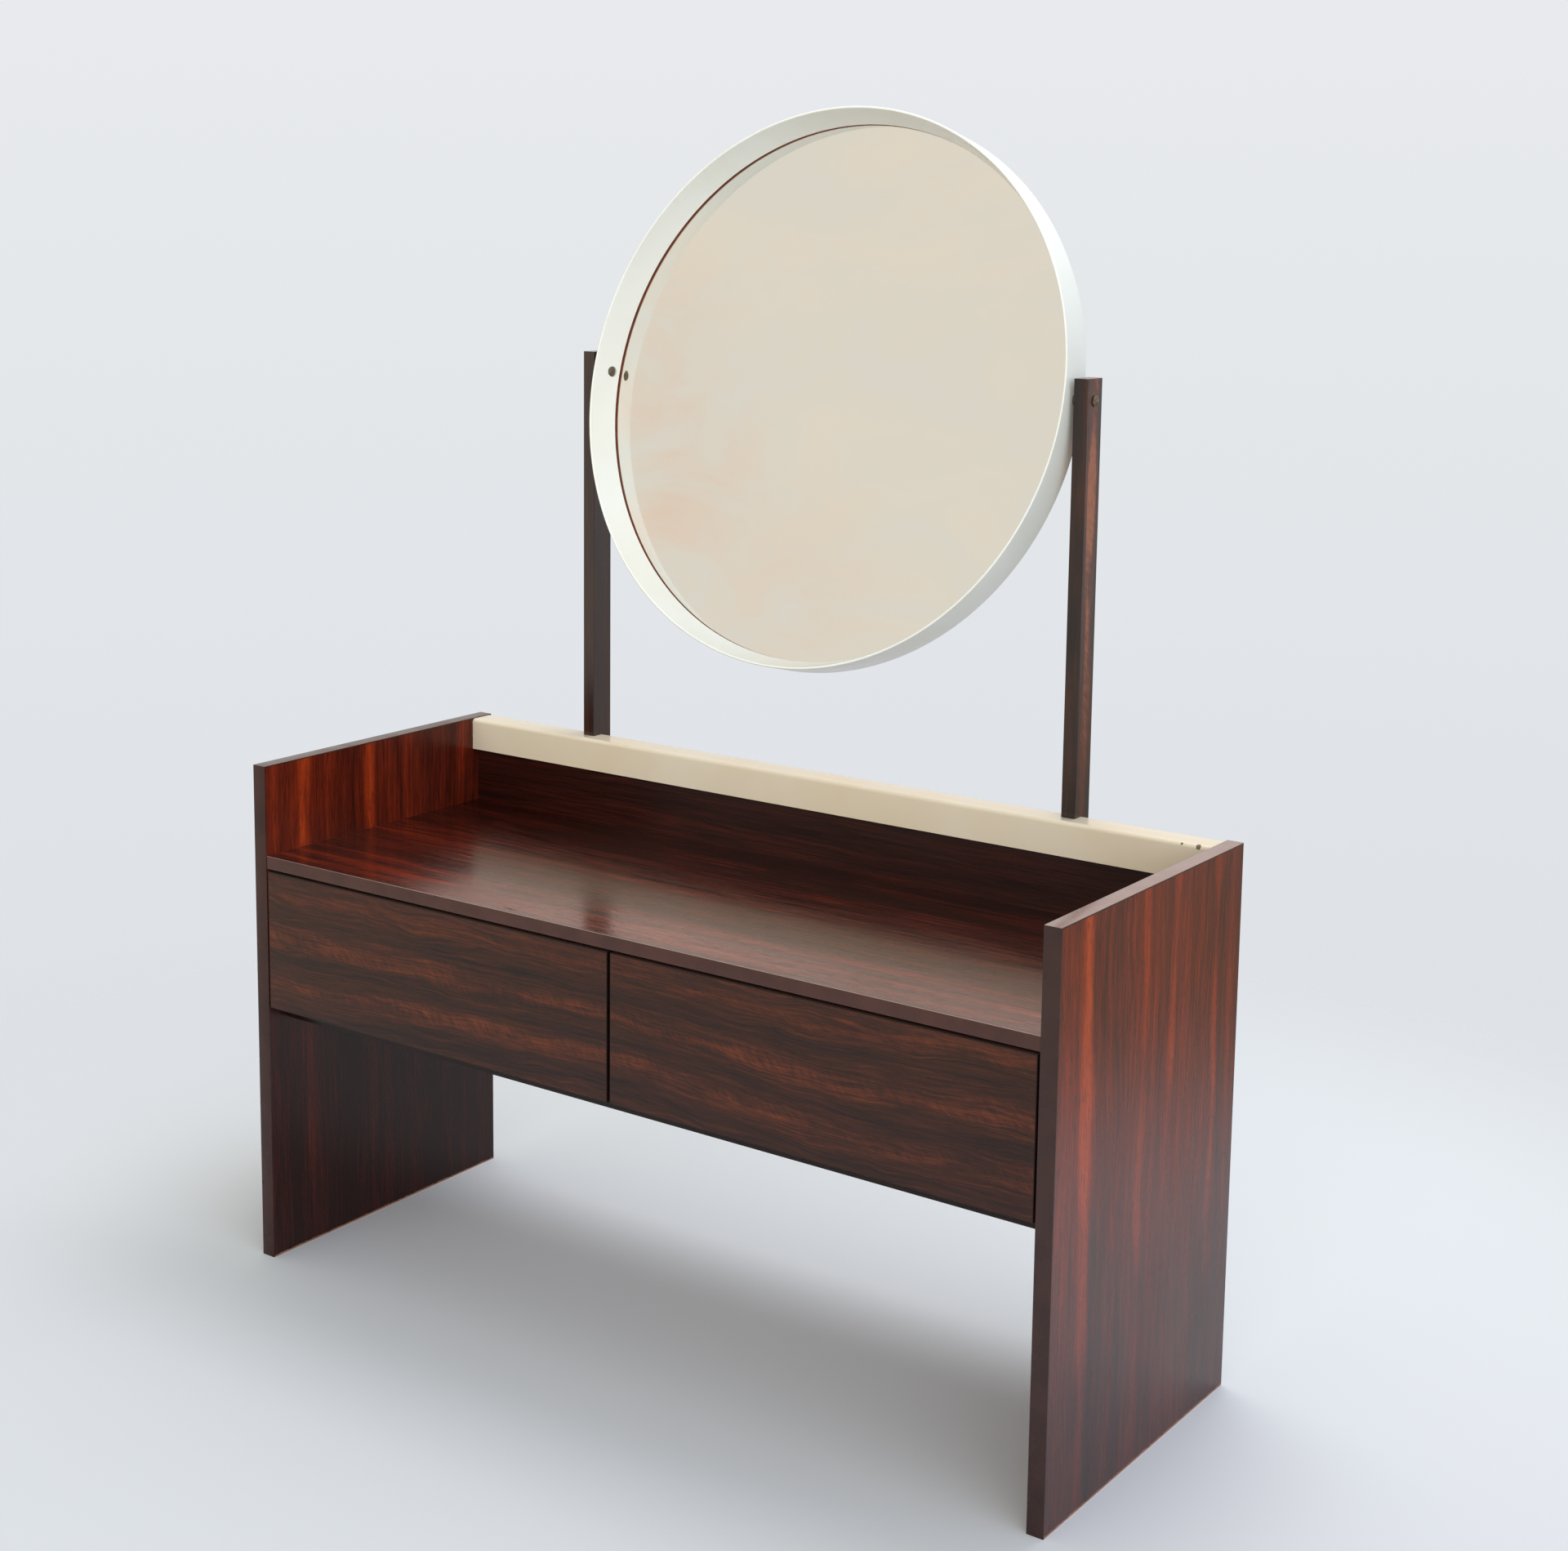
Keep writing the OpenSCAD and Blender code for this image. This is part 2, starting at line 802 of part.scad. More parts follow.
drawer_dowels(LEFT);  // drawer_left_dowels
drawer_nails(LEFT);  // drawer_left_nails
drawer_front(RIGHT);  // drawer_right_front
drawer_edging(RIGHT);  // drawer_right_edging
drawer_side(RIGHT, true);  // drawer_right_side_outer
drawer_side(RIGHT, false);  // drawer_right_side_inner
drawer_back(RIGHT);  // drawer_right_back
drawer_bottom(RIGHT);  // drawer_right_bottom
drawer_dowels(RIGHT);  // drawer_right_dowels
drawer_nails(RIGHT);  // drawer_right_nails
mirror_hoop();
mirror_glass();
mirror_backing();
backing_pins();
pivot_bolts();
pivot_spacers();
cap_nuts();
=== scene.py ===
# %% [markdown]
# # A rosewood dressing table with a round mirror
# The table is a case of veneered boards: two slab sides that are also the legs, a worktop,
# two drawers and a back panel under a cream lacquered rail. Two thin posts rise from the back
# of the rail and hold a round mirror in a deep lacquered hoop, which tilts on two bolts.
# The solids come from the CAD model and stay where they are. This lesson lights them, gives
# each one its finish, and remakes the few pieces whose edges or curves need to be finer than
# a solid for fitting needs: the edge bands, the hoop and the mirror.

# %% Load the fixed frame
import math

import bmesh
import bpy
from mathutils import Matrix, Vector


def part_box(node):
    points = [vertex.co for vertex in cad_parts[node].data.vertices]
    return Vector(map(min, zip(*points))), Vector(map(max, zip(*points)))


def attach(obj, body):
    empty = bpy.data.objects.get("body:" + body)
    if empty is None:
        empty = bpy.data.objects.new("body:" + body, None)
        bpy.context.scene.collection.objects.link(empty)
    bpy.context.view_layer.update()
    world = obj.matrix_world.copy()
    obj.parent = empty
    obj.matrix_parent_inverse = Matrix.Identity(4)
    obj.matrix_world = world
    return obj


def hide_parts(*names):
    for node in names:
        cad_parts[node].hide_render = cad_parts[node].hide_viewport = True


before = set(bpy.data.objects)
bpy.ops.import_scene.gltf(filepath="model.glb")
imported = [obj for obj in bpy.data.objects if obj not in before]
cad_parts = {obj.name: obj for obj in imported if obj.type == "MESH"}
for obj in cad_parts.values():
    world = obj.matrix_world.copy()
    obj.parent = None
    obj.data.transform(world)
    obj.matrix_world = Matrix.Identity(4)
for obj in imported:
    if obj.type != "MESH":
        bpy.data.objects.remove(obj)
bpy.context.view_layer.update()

# %% [markdown]
# ## Camera
# The viewpoint was worked out from the straight edges of the case and the rings of the
# mirror. The camera stands to the right of the table, a little above the mirror's middle, and
# its frame is shifted down so that upright edges keep their small convergence.

# %% Camera
CAMERA_AT = Vector((1.6722, -2.2832, 1.3248))
CAMERA_YAW = 0.61696
CAMERA_PITCH = -0.15133
CAMERA_ROLL = 0.01251
LENS_MM = 55.93
SENSOR_MM = 36.0
FRAME_SHIFT = -0.1221

ahead = Vector((
    -math.sin(CAMERA_YAW) * math.cos(CAMERA_PITCH),
    math.cos(CAMERA_YAW) * math.cos(CAMERA_PITCH),
    math.sin(CAMERA_PITCH),
))
level_right = Vector((math.cos(CAMERA_YAW), math.sin(CAMERA_YAW), 0))
level_up = level_right.cross(ahead)
rolled_right = math.cos(CAMERA_ROLL) * level_right + math.sin(CAMERA_ROLL) * level_up
rolled_up = math.cos(CAMERA_ROLL) * level_up - math.sin(CAMERA_ROLL) * level_right
turn = Matrix((rolled_right, rolled_up, -ahead)).transposed()

camera_data = bpy.data.cameras.new("camera")
camera_data.lens = LENS_MM
camera_data.sensor_width = SENSOR_MM
camera_data.sensor_fit = "HORIZONTAL"
camera_data.shift_y = FRAME_SHIFT
camera = bpy.data.objects.new("camera", camera_data)
camera.matrix_world = Matrix.Translation(CAMERA_AT) @ turn.to_4x4()
bpy.context.scene.collection.objects.link(camera)
bpy.context.scene.camera = camera
bpy.context.scene.view_settings.view_transform = "Standard"
print("camera", [round(v, 3) for v in CAMERA_AT], "lens", LENS_MM)

# %% [markdown]
# ## Small tools for materials
# Colours are easiest to read as the hex values that a colour picker gives, but Blender mixes
# light in linear values, so one function converts them. The next one adds a node, with its
# settings and with each input given as a value or as another node's output. The others stand
# for the few kinds of node that most of the materials here need.

# %% Colour and node tools
MM = 0.001


def linear(code):
    """A linear RGBA colour from an sRGB hex code such as '#8A4B2C'."""
    parts = [int(code[k:k + 2], 16) / 255 for k in (1, 3, 5)]
    return tuple(p / 12.92 if p <= 0.04045 else ((p + 0.055) / 1.055) ** 2.4 for p in parts) + (1.0,)


def add(tree, kind, inputs=None, **settings):
    """Adds a node to a tree. Inputs are given by name or number, as a value or as an output."""
    node = tree.nodes.new(kind)
    for key, value in settings.items():
        setattr(node, key, value)
    for key, value in (inputs or {}).items():
        if isinstance(value, bpy.types.NodeSocket):
            tree.links.new(value, node.inputs[key])
        else:
            node.inputs[key].default_value = value
    return node


def span(tree, value, low, high, least=0.0, most=1.0, smooth=False):
    """Goes from least to most as value goes from low to high, with eased ends where smooth."""
    return add(tree, "ShaderNodeMapRange", {0: value, 1: low, 2: high, 3: least, 4: most},
               interpolation_type="SMOOTHSTEP" if smooth else "LINEAR").outputs[0]


def blend(tree, share, first, second):
    """The colour that lies that share of the way from the first colour to the second."""
    return add(tree, "ShaderNodeMix", {0: share, 6: first, 7: second}, data_type="RGBA").outputs[2]


def noise(tree, place, size_mm, detail):
    """Noise with features of about that size, drawn at a place in metres."""
    return add(tree, "ShaderNodeTexNoise", {"Vector": place, "Scale": 1 / (size_mm * MM),
                                            "Detail": detail}).outputs[0]


def coat(tree, inputs):
    """Ends a material: one shader with these inputs, and the output."""
    skin = add(tree, "ShaderNodeBsdfPrincipled", inputs)
    add(tree, "ShaderNodeOutputMaterial", {"Surface": skin.outputs[0]})


def new_material(name):
    """An empty node material, and the tree to fill."""
    material = bpy.data.materials.new(name)
    material.use_nodes = True
    material.node_tree.nodes.clear()
    return material, material.node_tree


def set_ramp(node, stops):
    """Gives a colour ramp its stops: pairs of a place from 0 to 1 and a hex colour."""
    ramp = node.color_ramp
    while len(ramp.elements) > 1:
        ramp.elements.remove(ramp.elements[-1])
    ramp.elements[0].position = stops[0][0]
    ramp.elements[0].color = linear(stops[0][1])
    for place, code in stops[1:]:
        ramp.elements.new(place).color = linear(code)


print("linear '#8E4A33' is", [round(v, 3) for v in linear("#8E4A33")])

# %% [markdown]
# ## Floor and light
# A plain pale floor catches the shadow. It fades out with distance, so no horizon shows, and
# what lies behind it is the pale world. The studio is brightest in front of the table and on
# its right, so the world gives more light from there, in broad soft patches. A large soft
# lamp hangs behind and above, and gathers the shadow under the case.

# %% World
# The backdrop's tones from a little below the horizon to a little above it
PALE_SKY = [(0.0, "#DDE0E6"), (0.4, "#E4E7EA"), (0.6, "#E8EAED"), (1.0, "#E6E9E9")]
SKY_HALF_HEIGHT = 0.35
# Where the camera's own side of the studio begins and is full, along the table's depth
CAMERA_SIDE_FROM = -0.1
CAMERA_SIDE_TO = -0.6
# Two parts of the studio that only gloss shows, each given by the way it lies, by how closely a
# ray points there (as a cosine) where the part begins and where it is full, by the same two
# places in height, and by its colour
GLOSS_PARTS = [
    # Low down on the far right it is dim, so the gloss of the right side is deep there
    ((0.45, 0.87, -0.25), (0.80, 0.95), (-0.14, -0.24), linear("#9B9986")),
    # Behind on the left it is warm and bright, which the front of the worktop mirrors
    ((-0.57, 0.77, 0.33), (0.90, 0.98), (0.22, 0.28), (1.36, 1.05, 0.92, 1.0)),
]
# What lights the table: a few broad soft patches over a faint even light, each given by the way
# it lies and by its strength in red, green and blue
EVEN_LIGHT = (0.02, 0.02, 0.02)
PATCH_NARROWING = 6.0
PATCHES = [
    ((0.0, -1.0, 0.2), (1.90, 1.76, 1.62)),
    ((0.7, -0.7, 0.2), (2.15, 2.22, 2.26)),
    ((1.0, 0.0, 1.0), (0.90, 1.05, 1.30)),
    ((0.0, 0.7, 1.0), (0.50, 0.50, 0.50)),
    ((-1.0, 0.0, 1.0), (0.90, 0.92, 0.75)),
]

scene = bpy.context.scene
world = bpy.data.worlds.new("studio")
scene.world = world
world.use_nodes = True
sky = world.node_tree
sky.nodes.clear()
way = add(sky, "ShaderNodeTexCoord").outputs["Generated"]
way_xyz = add(sky, "ShaderNodeSeparateXYZ", {0: way}).outputs


def facing(toward):
    """The cosine of the angle between a ray's way and this one."""
    return add(sky, "ShaderNodeVectorMath", {0: way, 1: Vector(toward).normalized()},
               operation="DOT_PRODUCT").outputs["Value"]


# What the camera sees: pale, with a slightly deeper tone below the horizon
height = span(sky, way_xyz[2], -SKY_HALF_HEIGHT, SKY_HALF_HEIGHT)
seen = add(sky, "ShaderNodeValToRGB", {0: height})
set_ramp(seen, PALE_SKY)
# What gloss shows: the same, the camera's own side, which is a little warmer, and the two parts
camera_side = span(sky, way_xyz[1], CAMERA_SIDE_FROM, CAMERA_SIDE_TO, smooth=True)
mirrored = blend(sky, camera_side, seen.outputs[0], linear("#EAE4D8"))
for toward, nearness, heights, colour in GLOSS_PARTS:
    near = span(sky, facing(toward), *nearness, smooth=True)
    level = span(sky, way_xyz[2], *heights, smooth=True)
    inside = add(sky, "ShaderNodeMath", {0: near, 1: level}, operation="MULTIPLY")
    mirrored = blend(sky, inside.outputs[0], mirrored, colour)
# What lights the table
glow = EVEN_LIGHT
for toward, strength in PATCHES:
    near = add(sky, "ShaderNodeMath", {0: facing(toward), 1: 0.0}, operation="MAXIMUM")
    near = add(sky, "ShaderNodeMath", {0: near.outputs[0], 1: PATCH_NARROWING}, operation="POWER")
    patch = add(sky, "ShaderNodeVectorMath", {0: strength, 3: near.outputs[0]}, operation="SCALE")
    glow = add(sky, "ShaderNodeVectorMath", {0: glow, 1: patch.outputs[0]}, operation="ADD").outputs[0]
path = add(sky, "ShaderNodeLightPath").outputs
shiny = add(sky, "ShaderNodeMath", {0: path["Is Glossy Ray"], 1: path["Is Transmission Ray"]},
            operation="MAXIMUM")
shown = blend(sky, shiny.outputs[0], glow, mirrored)
shown = blend(sky, path["Is Camera Ray"], shown, seen.outputs[0])
backdrop = add(sky, "ShaderNodeBackground", {"Color": shown, "Strength": 1.0})
add(sky, "ShaderNodeOutputWorld", {"Surface": backdrop.outputs[0]})
print("world nodes:", len(sky.nodes))

# %% Floor
FLOOR_R = 1.9
FLOOR_SOLID_R = 1.0
FLOOR_SIDES = 96

floor_paint, tree = new_material("matt_pale_floor_paint")
spot = add(tree, "ShaderNodeTexCoord").outputs["Object"]
away = add(tree, "ShaderNodeVectorMath", {0: spot}, operation="LENGTH").outputs["Value"]
fade = span(tree, away, FLOOR_SOLID_R, FLOOR_R, smooth=True)
# Matt paint with little gloss: the eye gets an even tone and a soft shadow from it
paint = add(tree, "ShaderNodeBsdfPrincipled", {"Base Color": linear("#E9EBEF"), "Roughness": 0.7,
                                               "Specular IOR Level": 0.25})
clear = add(tree, "ShaderNodeBsdfTransparent")
both = add(tree, "ShaderNodeMixShader", {0: fade, 1: paint.outputs[0], 2: clear.outputs[0]})
add(tree, "ShaderNodeOutputMaterial", {"Surface": both.outputs[0]})

shape = bmesh.new()
bmesh.ops.create_circle(shape, cap_ends=True, radius=FLOOR_R, segments=FLOOR_SIDES)
floor_mesh = bpy.data.meshes.new("floor")
shape.to_mesh(floor_mesh)
shape.free()
floor_mesh.materials.append(floor_paint)
floor = bpy.data.objects.new("floor", floor_mesh)
scene.collection.objects.link(floor)
print("floor radius", FLOOR_R, "m")

# %% Lamp
# Places and width in metres
LAMP_AT = Vector((0.2, 0.75, 2.7))
LAMP_AIM = Vector((0, 0, 0.5))
LAMP_WIDTH = 1.5
LAMP_WATTS = 29
LAMP_TINT = (0.96, 0.98, 1.0)

lamp_data = bpy.data.lights.new("soft_lamp", "AREA")
lamp_data.shape = "DISK"
lamp_data.size = LAMP_WIDTH
lamp_data.energy = LAMP_WATTS
lamp_data.color = LAMP_TINT
lamp = bpy.data.objects.new("soft_lamp", lamp_data)
lamp.location = LAMP_AT
lamp.rotation_euler = (LAMP_AIM - LAMP_AT).to_track_quat("-Z", "Y").to_euler()
scene.collection.objects.link(lamp)
print("lamp", LAMP_WATTS, "W")

# %% [markdown]
# ## Rosewood veneer
# The boards are faced with rosewood veneer under a satin lacquer. Rosewood is a deep red-brown
# heartwood with near-black lines and orange-red streaks that run the length of the leaf, so
# the pattern is drawn from noise that is stretched along the grain: broad bands 30 to 60 mm
# wide, streaks of 8 to 13 mm, fibres and short open pores. Real fibres and pores are finer than
# half a millimetre. They are drawn 1 to 4 mm wide, the finest that shows from here. Slow noise
# pushes the bands sideways, which gives the wavering edges of real figure. The lacquer leaves
# a clear dielectric gloss on top, so the pale studio lies over the dark wood like a veil.

# %% Veneer material
# How far each layer of figure moves the tone
BANDS_WEIGHT = 0.36
STREAKS_WEIGHT = 0.24
NEEDLES_WEIGHT = 0.42
# How dark the near-black seams and the open pores are
SEAM_DARK = 0.3
PORE_DARK = 0.5
# How much a streak swells, how ragged edges are, and how far streaks fade towards the lower end
STREAK_SWELL = 2.4
RAGGED = 1.6
FOOT_FADE = 0.6
# Ripples stand 5.5 mm apart and 12 mm wide, and lean and sway across the grain
RIPPLE_PER_MM = (1 / 12, 1 / 5.5, 1 / 12)
RIPPLE_LEAN = 0.7
RIPPLE_SWAY_MM = 40.0
# How strong they are in plain wood, and how much more so in a streak
RIPPLE_PLAIN = 0.25
RIPPLE_STREAK = 4.0
# How much duller the lacquer is where it has sunk into the grain
SUNK_DULLING = 0.25


def rosewood(name, grain, offset, stops, leaf=(), waves=(24.0, 8.0), band_mm=46.0, gloss=(0.20, 0.30),
             ripple=0.10, ior=1.42, middle=0.42, fibre=0.55, darker_below=None, foot_wear=False, marks=()):
    """Lacquered rosewood.

    grain: the axes along, across and through the leaf, such as 'ZYX'
    offset: the place in the noise, in mm, from which this leaf is cut
    stops: the wood's colours, from its darkest tone to its lightest
    leaf: the main streaks, each with its place across the grain and half width in mm, and its strength
    waves: how far, in mm, slow and quick noise push the figure sideways
    band_mm: the width of the broad bands
    gloss: the lacquer's least and greatest roughness
    ripple: the strength of the ripples that lean across the grain
    ior: how strongly the lacquer mirrors, as an index of refraction
    middle: the tone, from 0 to 1, that the layers of figure vary about
    fibre: how far the finest fibres move the tone
    darker_below: two places along the grain, in mm, and how much darker the tone is drawn from the first to
    the second
    foot_wear: whether the lacquer is scuffed off along the foot
    marks: scuffs, each with its place and its reach in mm
    """
    material, tree = new_material(name)
    place = add(tree, "ShaderNodeTexCoord").outputs["Object"]
    place = add(tree, "ShaderNodeVectorMath", {0: place, 3: 1 / MM}, operation="SCALE")
    axes = add(tree, "ShaderNodeSeparateXYZ", {0: place.outputs[0]})
    along, across, through = (axes.outputs["XYZ".index(a)] for a in grain)

    def stretched(side, width, length, detail, rough=0.5):
        """Noise with features of that width across and that length along the grain, in mm."""
        spot = add(tree, "ShaderNodeCombineXYZ", {0: side, 1: along, 2: through})
        spot = add(tree, "ShaderNodeVectorMath", {0: spot.outputs[0], 1: offset}, operation="ADD")
        spot = add(tree, "ShaderNodeVectorMath", {0: spot.outputs[0],
                                                  1: (1 / width, 1 / length, 1 / width)},
                   operation="MULTIPLY")
        return add(tree, "ShaderNodeTexNoise", {"Vector": spot.outputs[0], "Scale": 1.0, "Detail": detail,
                                                "Roughness": rough}, noise_dimensions="3D").outputs[0]

    def share(value, low, high, least=0.0, most=1.0):
        """A smooth step from least to most as value goes from low to high."""
        return span(tree, value, low, high, least, most, smooth=True)

    def calc(operation, *values):
        """One step of arithmetic."""
        return add(tree, "ShaderNodeMath", dict(enumerate(values)), operation=operation).outputs[0]

    def centred(value):
        """Noise gathers round one half, so this brings it round nought."""
        return calc("SUBTRACT", value, 0.5)

    # The leaf's slow sideways wander, then smaller waves on the edges of the bands
    slow = centred(stretched(across, 170.0, 520.0, 1.0))
    side = calc("MULTIPLY_ADD", slow, waves[0], across)
    quick = centred(stretched(side, 26.0, 95.0, 2.0))
    side = calc("MULTIPLY_ADD", quick, waves[1], side)
    bands = stretched(side, band_mm, 1900.0, 1.5)
    streaks = stretched(side, 13.0, 420.0, 2.0)
    fibres = stretched(side, 2.6, 75.0, 3.0, 0.6)
    needles = stretched(side, 4.2, 160.0, 2.0, 0.7)
    tone = calc("MULTIPLY_ADD", centred(bands), BANDS_WEIGHT, middle)
    tone = calc("MULTIPLY_ADD", centred(streaks), STREAKS_WEIGHT, tone)
    tone = calc("MULTIPLY_ADD", centred(needles), NEEDLES_WEIGHT, tone)
    tone = calc("MULTIPLY_ADD", centred(fibres), fibre, tone)
    # The tone is drawn darker towards the lower end along the grain; on the left side this is painted shade
    # under the case
    toward_foot = share(along, darker_below[0], darker_below[1]) if darker_below else 0.0
    if darker_below:
        tone = calc("MULTIPLY_ADD", toward_foot, -darker_below[2], tone)
    # The main streaks swell, thin, glow and fade along their length
    swell = centred(stretched(across, 70.0, 190.0, 1.0))
    fade = share(stretched(across, 34.0, 150.0, 1.0), 0.32, 0.62, 0.35, 1.0)
    broad = 0.0
    for centre, half, strength in leaf:
        far = calc("ABSOLUTE", calc("SUBTRACT", side, centre))
        inside = calc("DIVIDE", far, calc("MULTIPLY_ADD", swell, STREAK_SWELL * half, half))
        ragged = calc("MULTIPLY_ADD", centred(needles), RAGGED, inside)
        broad = calc("ADD", broad, share(ragged, 1.7, 0.1, 0.0, strength))
    if leaf:
        broad = calc("MULTIPLY", broad, fade)
        broad = calc("MULTIPLY", broad, calc("MULTIPLY_ADD", toward_foot, -FOOT_FADE, 1.0))
        tone = calc("ADD", tone, broad)
    # Ripples are strongest in the streaks, as light catches wavy fibre
    lean = calc("MULTIPLY_ADD", swell, RIPPLE_SWAY_MM, along)
    lean = calc("MULTIPLY_ADD", across, RIPPLE_LEAN, lean)
    spot = add(tree, "ShaderNodeCombineXYZ", {0: across, 1: lean, 2: through})
    spot = add(tree, "ShaderNodeVectorMath", {0: spot.outputs[0], 1: RIPPLE_PER_MM}, operation="MULTIPLY")
    rows = add(tree, "ShaderNodeTexNoise", {"Vector": spot.outputs[0], "Scale": 1.0, "Detail": 1.0})
    catching = calc("MULTIPLY_ADD", broad, RIPPLE_STREAK, RIPPLE_PLAIN)
    caught = calc("MULTIPLY", centred(rows.outputs[0]), catching)
    tone = calc("MULTIPLY_ADD", caught, ripple, tone)
    wood = add(tree, "ShaderNodeValToRGB", {0: tone})
    set_ramp(wood, stops)
    # Near-black lines where two bands of growth meet
    seams = stretched(side, 24.0, 900.0, 1.0)
    seam = share(calc("ABSOLUTE", centred(seams)), 0.035, 0.0, 0.0, SEAM_DARK)
    seam = calc("MULTIPLY", seam, share(streaks, 0.58, 0.44))
    colour = blend(tree, seam, wood.outputs[0], linear("#1B0D0A"))
    # Open pores: really 0.3 mm wide, drawn at 1.1 mm so that they show at all
    pores = share(stretched(across, 1.1, 17.0, 1.0), 0.56, 0.68)
    colour = blend(tree, calc("MULTIPLY", pores, PORE_DARK), colour, linear("#1E100C"))
    # Hand-rubbed lacquer: the gloss drifts slowly over the face, and is duller where it has sunk in
    rough = share(stretched(across, 120.0, 260.0, 3.0), 0.3, 0.7, *gloss)
    rough = calc("MULTIPLY_ADD", centred(needles), SUNK_DULLING, rough)
    for centre, reach in marks:
        from_mark = add(tree, "ShaderNodeVectorMath", {0: place.outputs[0], 1: centre}, operation="SUBTRACT")
        scaled = add(tree, "ShaderNodeVectorMath", {0: from_mark.outputs[0], 1: reach}, operation="DIVIDE")
        far = add(tree, "ShaderNodeVectorMath", {0: scaled.outputs[0]}, operation="LENGTH").outputs["Value"]
        ragged = calc("MULTIPLY_ADD", stretched(across, 2.0, 5.0, 2.0), RAGGED, far)
        scuff = share(ragged, 1.75, 1.35, 0.0, 0.8)
        colour = blend(tree, scuff, colour, linear("#2A1C18"))
        rough = add(tree, "ShaderNodeMix", {0: scuff, 2: rough, 3: 0.65}).outputs[0]
    if foot_wear:
        # The lowest two or three millimetres are worn, with a ragged edge
        ragged = calc("MULTIPLY_ADD", stretched(across, 7.0, 3.0, 2.0), 3.0, along)
        scuffed = share(ragged, 4.4, 3.0, 0.0, 0.75)
        colour = blend(tree, scuffed, colour, linear("#A8765A"))
        rough = add(tree, "ShaderNodeMix", {0: scuffed, 2: rough, 3: 0.6}).outputs[0]
    # Pores and fibres dent the lacquer by a few hundredths of a millimetre
    sunk = calc("MULTIPLY_ADD", pores, -0.8, calc("MULTIPLY", fibres, 0.5))
    bump = add(tree, "ShaderNodeBump", {"Strength": 0.5, "Distance": 0.06 * MM, "Height": sunk})
    coat(tree, {"Base Color": colour, "Roughness": rough, "IOR": ior, "Normal": bump.outputs[0]})
    return material


# %% [markdown]
# ## The leaves
# Each board is dressed with a leaf of its own. The leaf's main streaks are placed one by one
# across the grain, and five colours take the wood from its darkest tone to its lightest.

# %% Leaves of veneer
# The two sides were cut from neighbouring leaves, so the same streaks stand in the same places.
# On the left one the tone is drawn darker towards its back edge and its foot, as painted shade
# from the rail and back panel and from the case above the leg
RIGHT_LEAF = [(-236, 7, 0.14), (-190, 12, 0.56), (-143, 6, 0.16), (-73, 8, 0.32), (-7, 8, 0.34),
              (58, 5, 0.10), (98, 10, 0.32), (136, 5, 0.10)]
LEFT_LEAF = [(-236, 7, 0.10), (-190, 12, 0.50), (-143, 6, 0.20), (-73, 9, 0.34), (-7, 9, 0.26),
             (98, 10, 0.26), (70, 90, -0.12)]
# The two drawer fronts are neighbours as well: two broad wavering bands with dark wood between
FRONT_LEAF = [(432, 12, 0.25), (376, 11, 0.25), (487, 7, 0.10), (404, 11, -0.10), (346, 12, -0.10),
              (464, 12, -0.07)]
# The worktop's tone is drawn darkest at the back, as painted shade under the rail, and its streaks gather
# towards the front
TOP_LEAF = [(-232, 8, 0.30), (-205, 10, 0.30), (-170, 7, 0.20), (-118, 9, 0.10), (-62, 6, 0.10),
            (-20, 7, 0.12), (0, 60, -0.10), (105, 70, -0.20)]
# The right post has one red streak down its heart, as wide as the post is deep, so its sides are red
# and its front stays near black: partly the wood's own streak, partly painted light on its lit side
HEART_AND_LIT_SIDE = [(156, 16, 1.05)]
RED_BROWN = [(0.0, "#240C07"), (0.2, "#3F140C"), (0.42, "#66200F"), (0.7, "#933213"), (1.0, "#BA481C")]
DEEP_RED = [(0.0, "#1A0806"), (0.2, "#30100A"), (0.42, "#4A190D"), (0.7, "#702811"), (1.0, "#9C3E17")]
BROWN = [(0.0, "#140A08"), (0.2, "#25130E"), (0.42, "#3A1C12"), (0.7, "#5E2C17"), (1.0, "#80401F")]
RED_HEART_AND_LIT_SIDE = BROWN[:4] + [(1.0, "#A05A36")]
# One old scuff near the worktop's front edge, as a place and a reach in mm
SCUFF = ((-158.0, -242.0, 526.0), (11.0, 1.8, 3.0))

# Rosewood on the sides: deep gloss over red-brown wood with glowing upright streaks
right_veneer = rosewood("rosewood_veneer_right", "ZYX", (310.0, 140.0, 95.0), RED_BROWN, RIGHT_LEAF,
                        waves=(34.0, 12.0), ior=1.5, darker_below=(430.0, 60.0, 0.24), foot_wear=True)
# Its darker back edge and foot are painted shade, from the rail and back panel and from the case above the
# leg
left_veneer = rosewood("rosewood_veneer_left", "ZYX", (310.0, 140.0, 95.0), RED_BROWN, LEFT_LEAF,
                       ior=1.34, middle=0.34, darker_below=(520.0, 330.0, 0.31), foot_wear=True)
# On the worktop it is rubbed smoother, so the rail and the pale studio are mirrored in it
worktop_veneer = rosewood("rosewood_veneer_worktop", "XYZ", (120.0, 610.0, 40.0), RED_BROWN, TOP_LEAF,
                          gloss=(0.16, 0.21), ior=1.46, middle=0.20, fibre=0.85, marks=[SCUFF])
# On the fronts it is browner and duller, with wilder waves that catch the light in ripples
front_veneer = rosewood("rosewood_veneer_fronts", "XZY", (730.0, 85.0, 260.0), BROWN, FRONT_LEAF,
                        waves=(50.0, 18.0), ripple=0.42, ior=1.36, middle=0.38, fibre=0.80)
# Plainer and darker leaves cover the back and the inside
panel_veneer = rosewood("rosewood_veneer_back", "XZY", (90.0, 410.0, 520.0), DEEP_RED, middle=0.18)
inner_veneer = rosewood("rosewood_veneer_inner", "YZX", (55.0, 230.0, 15.0), DEEP_RED)
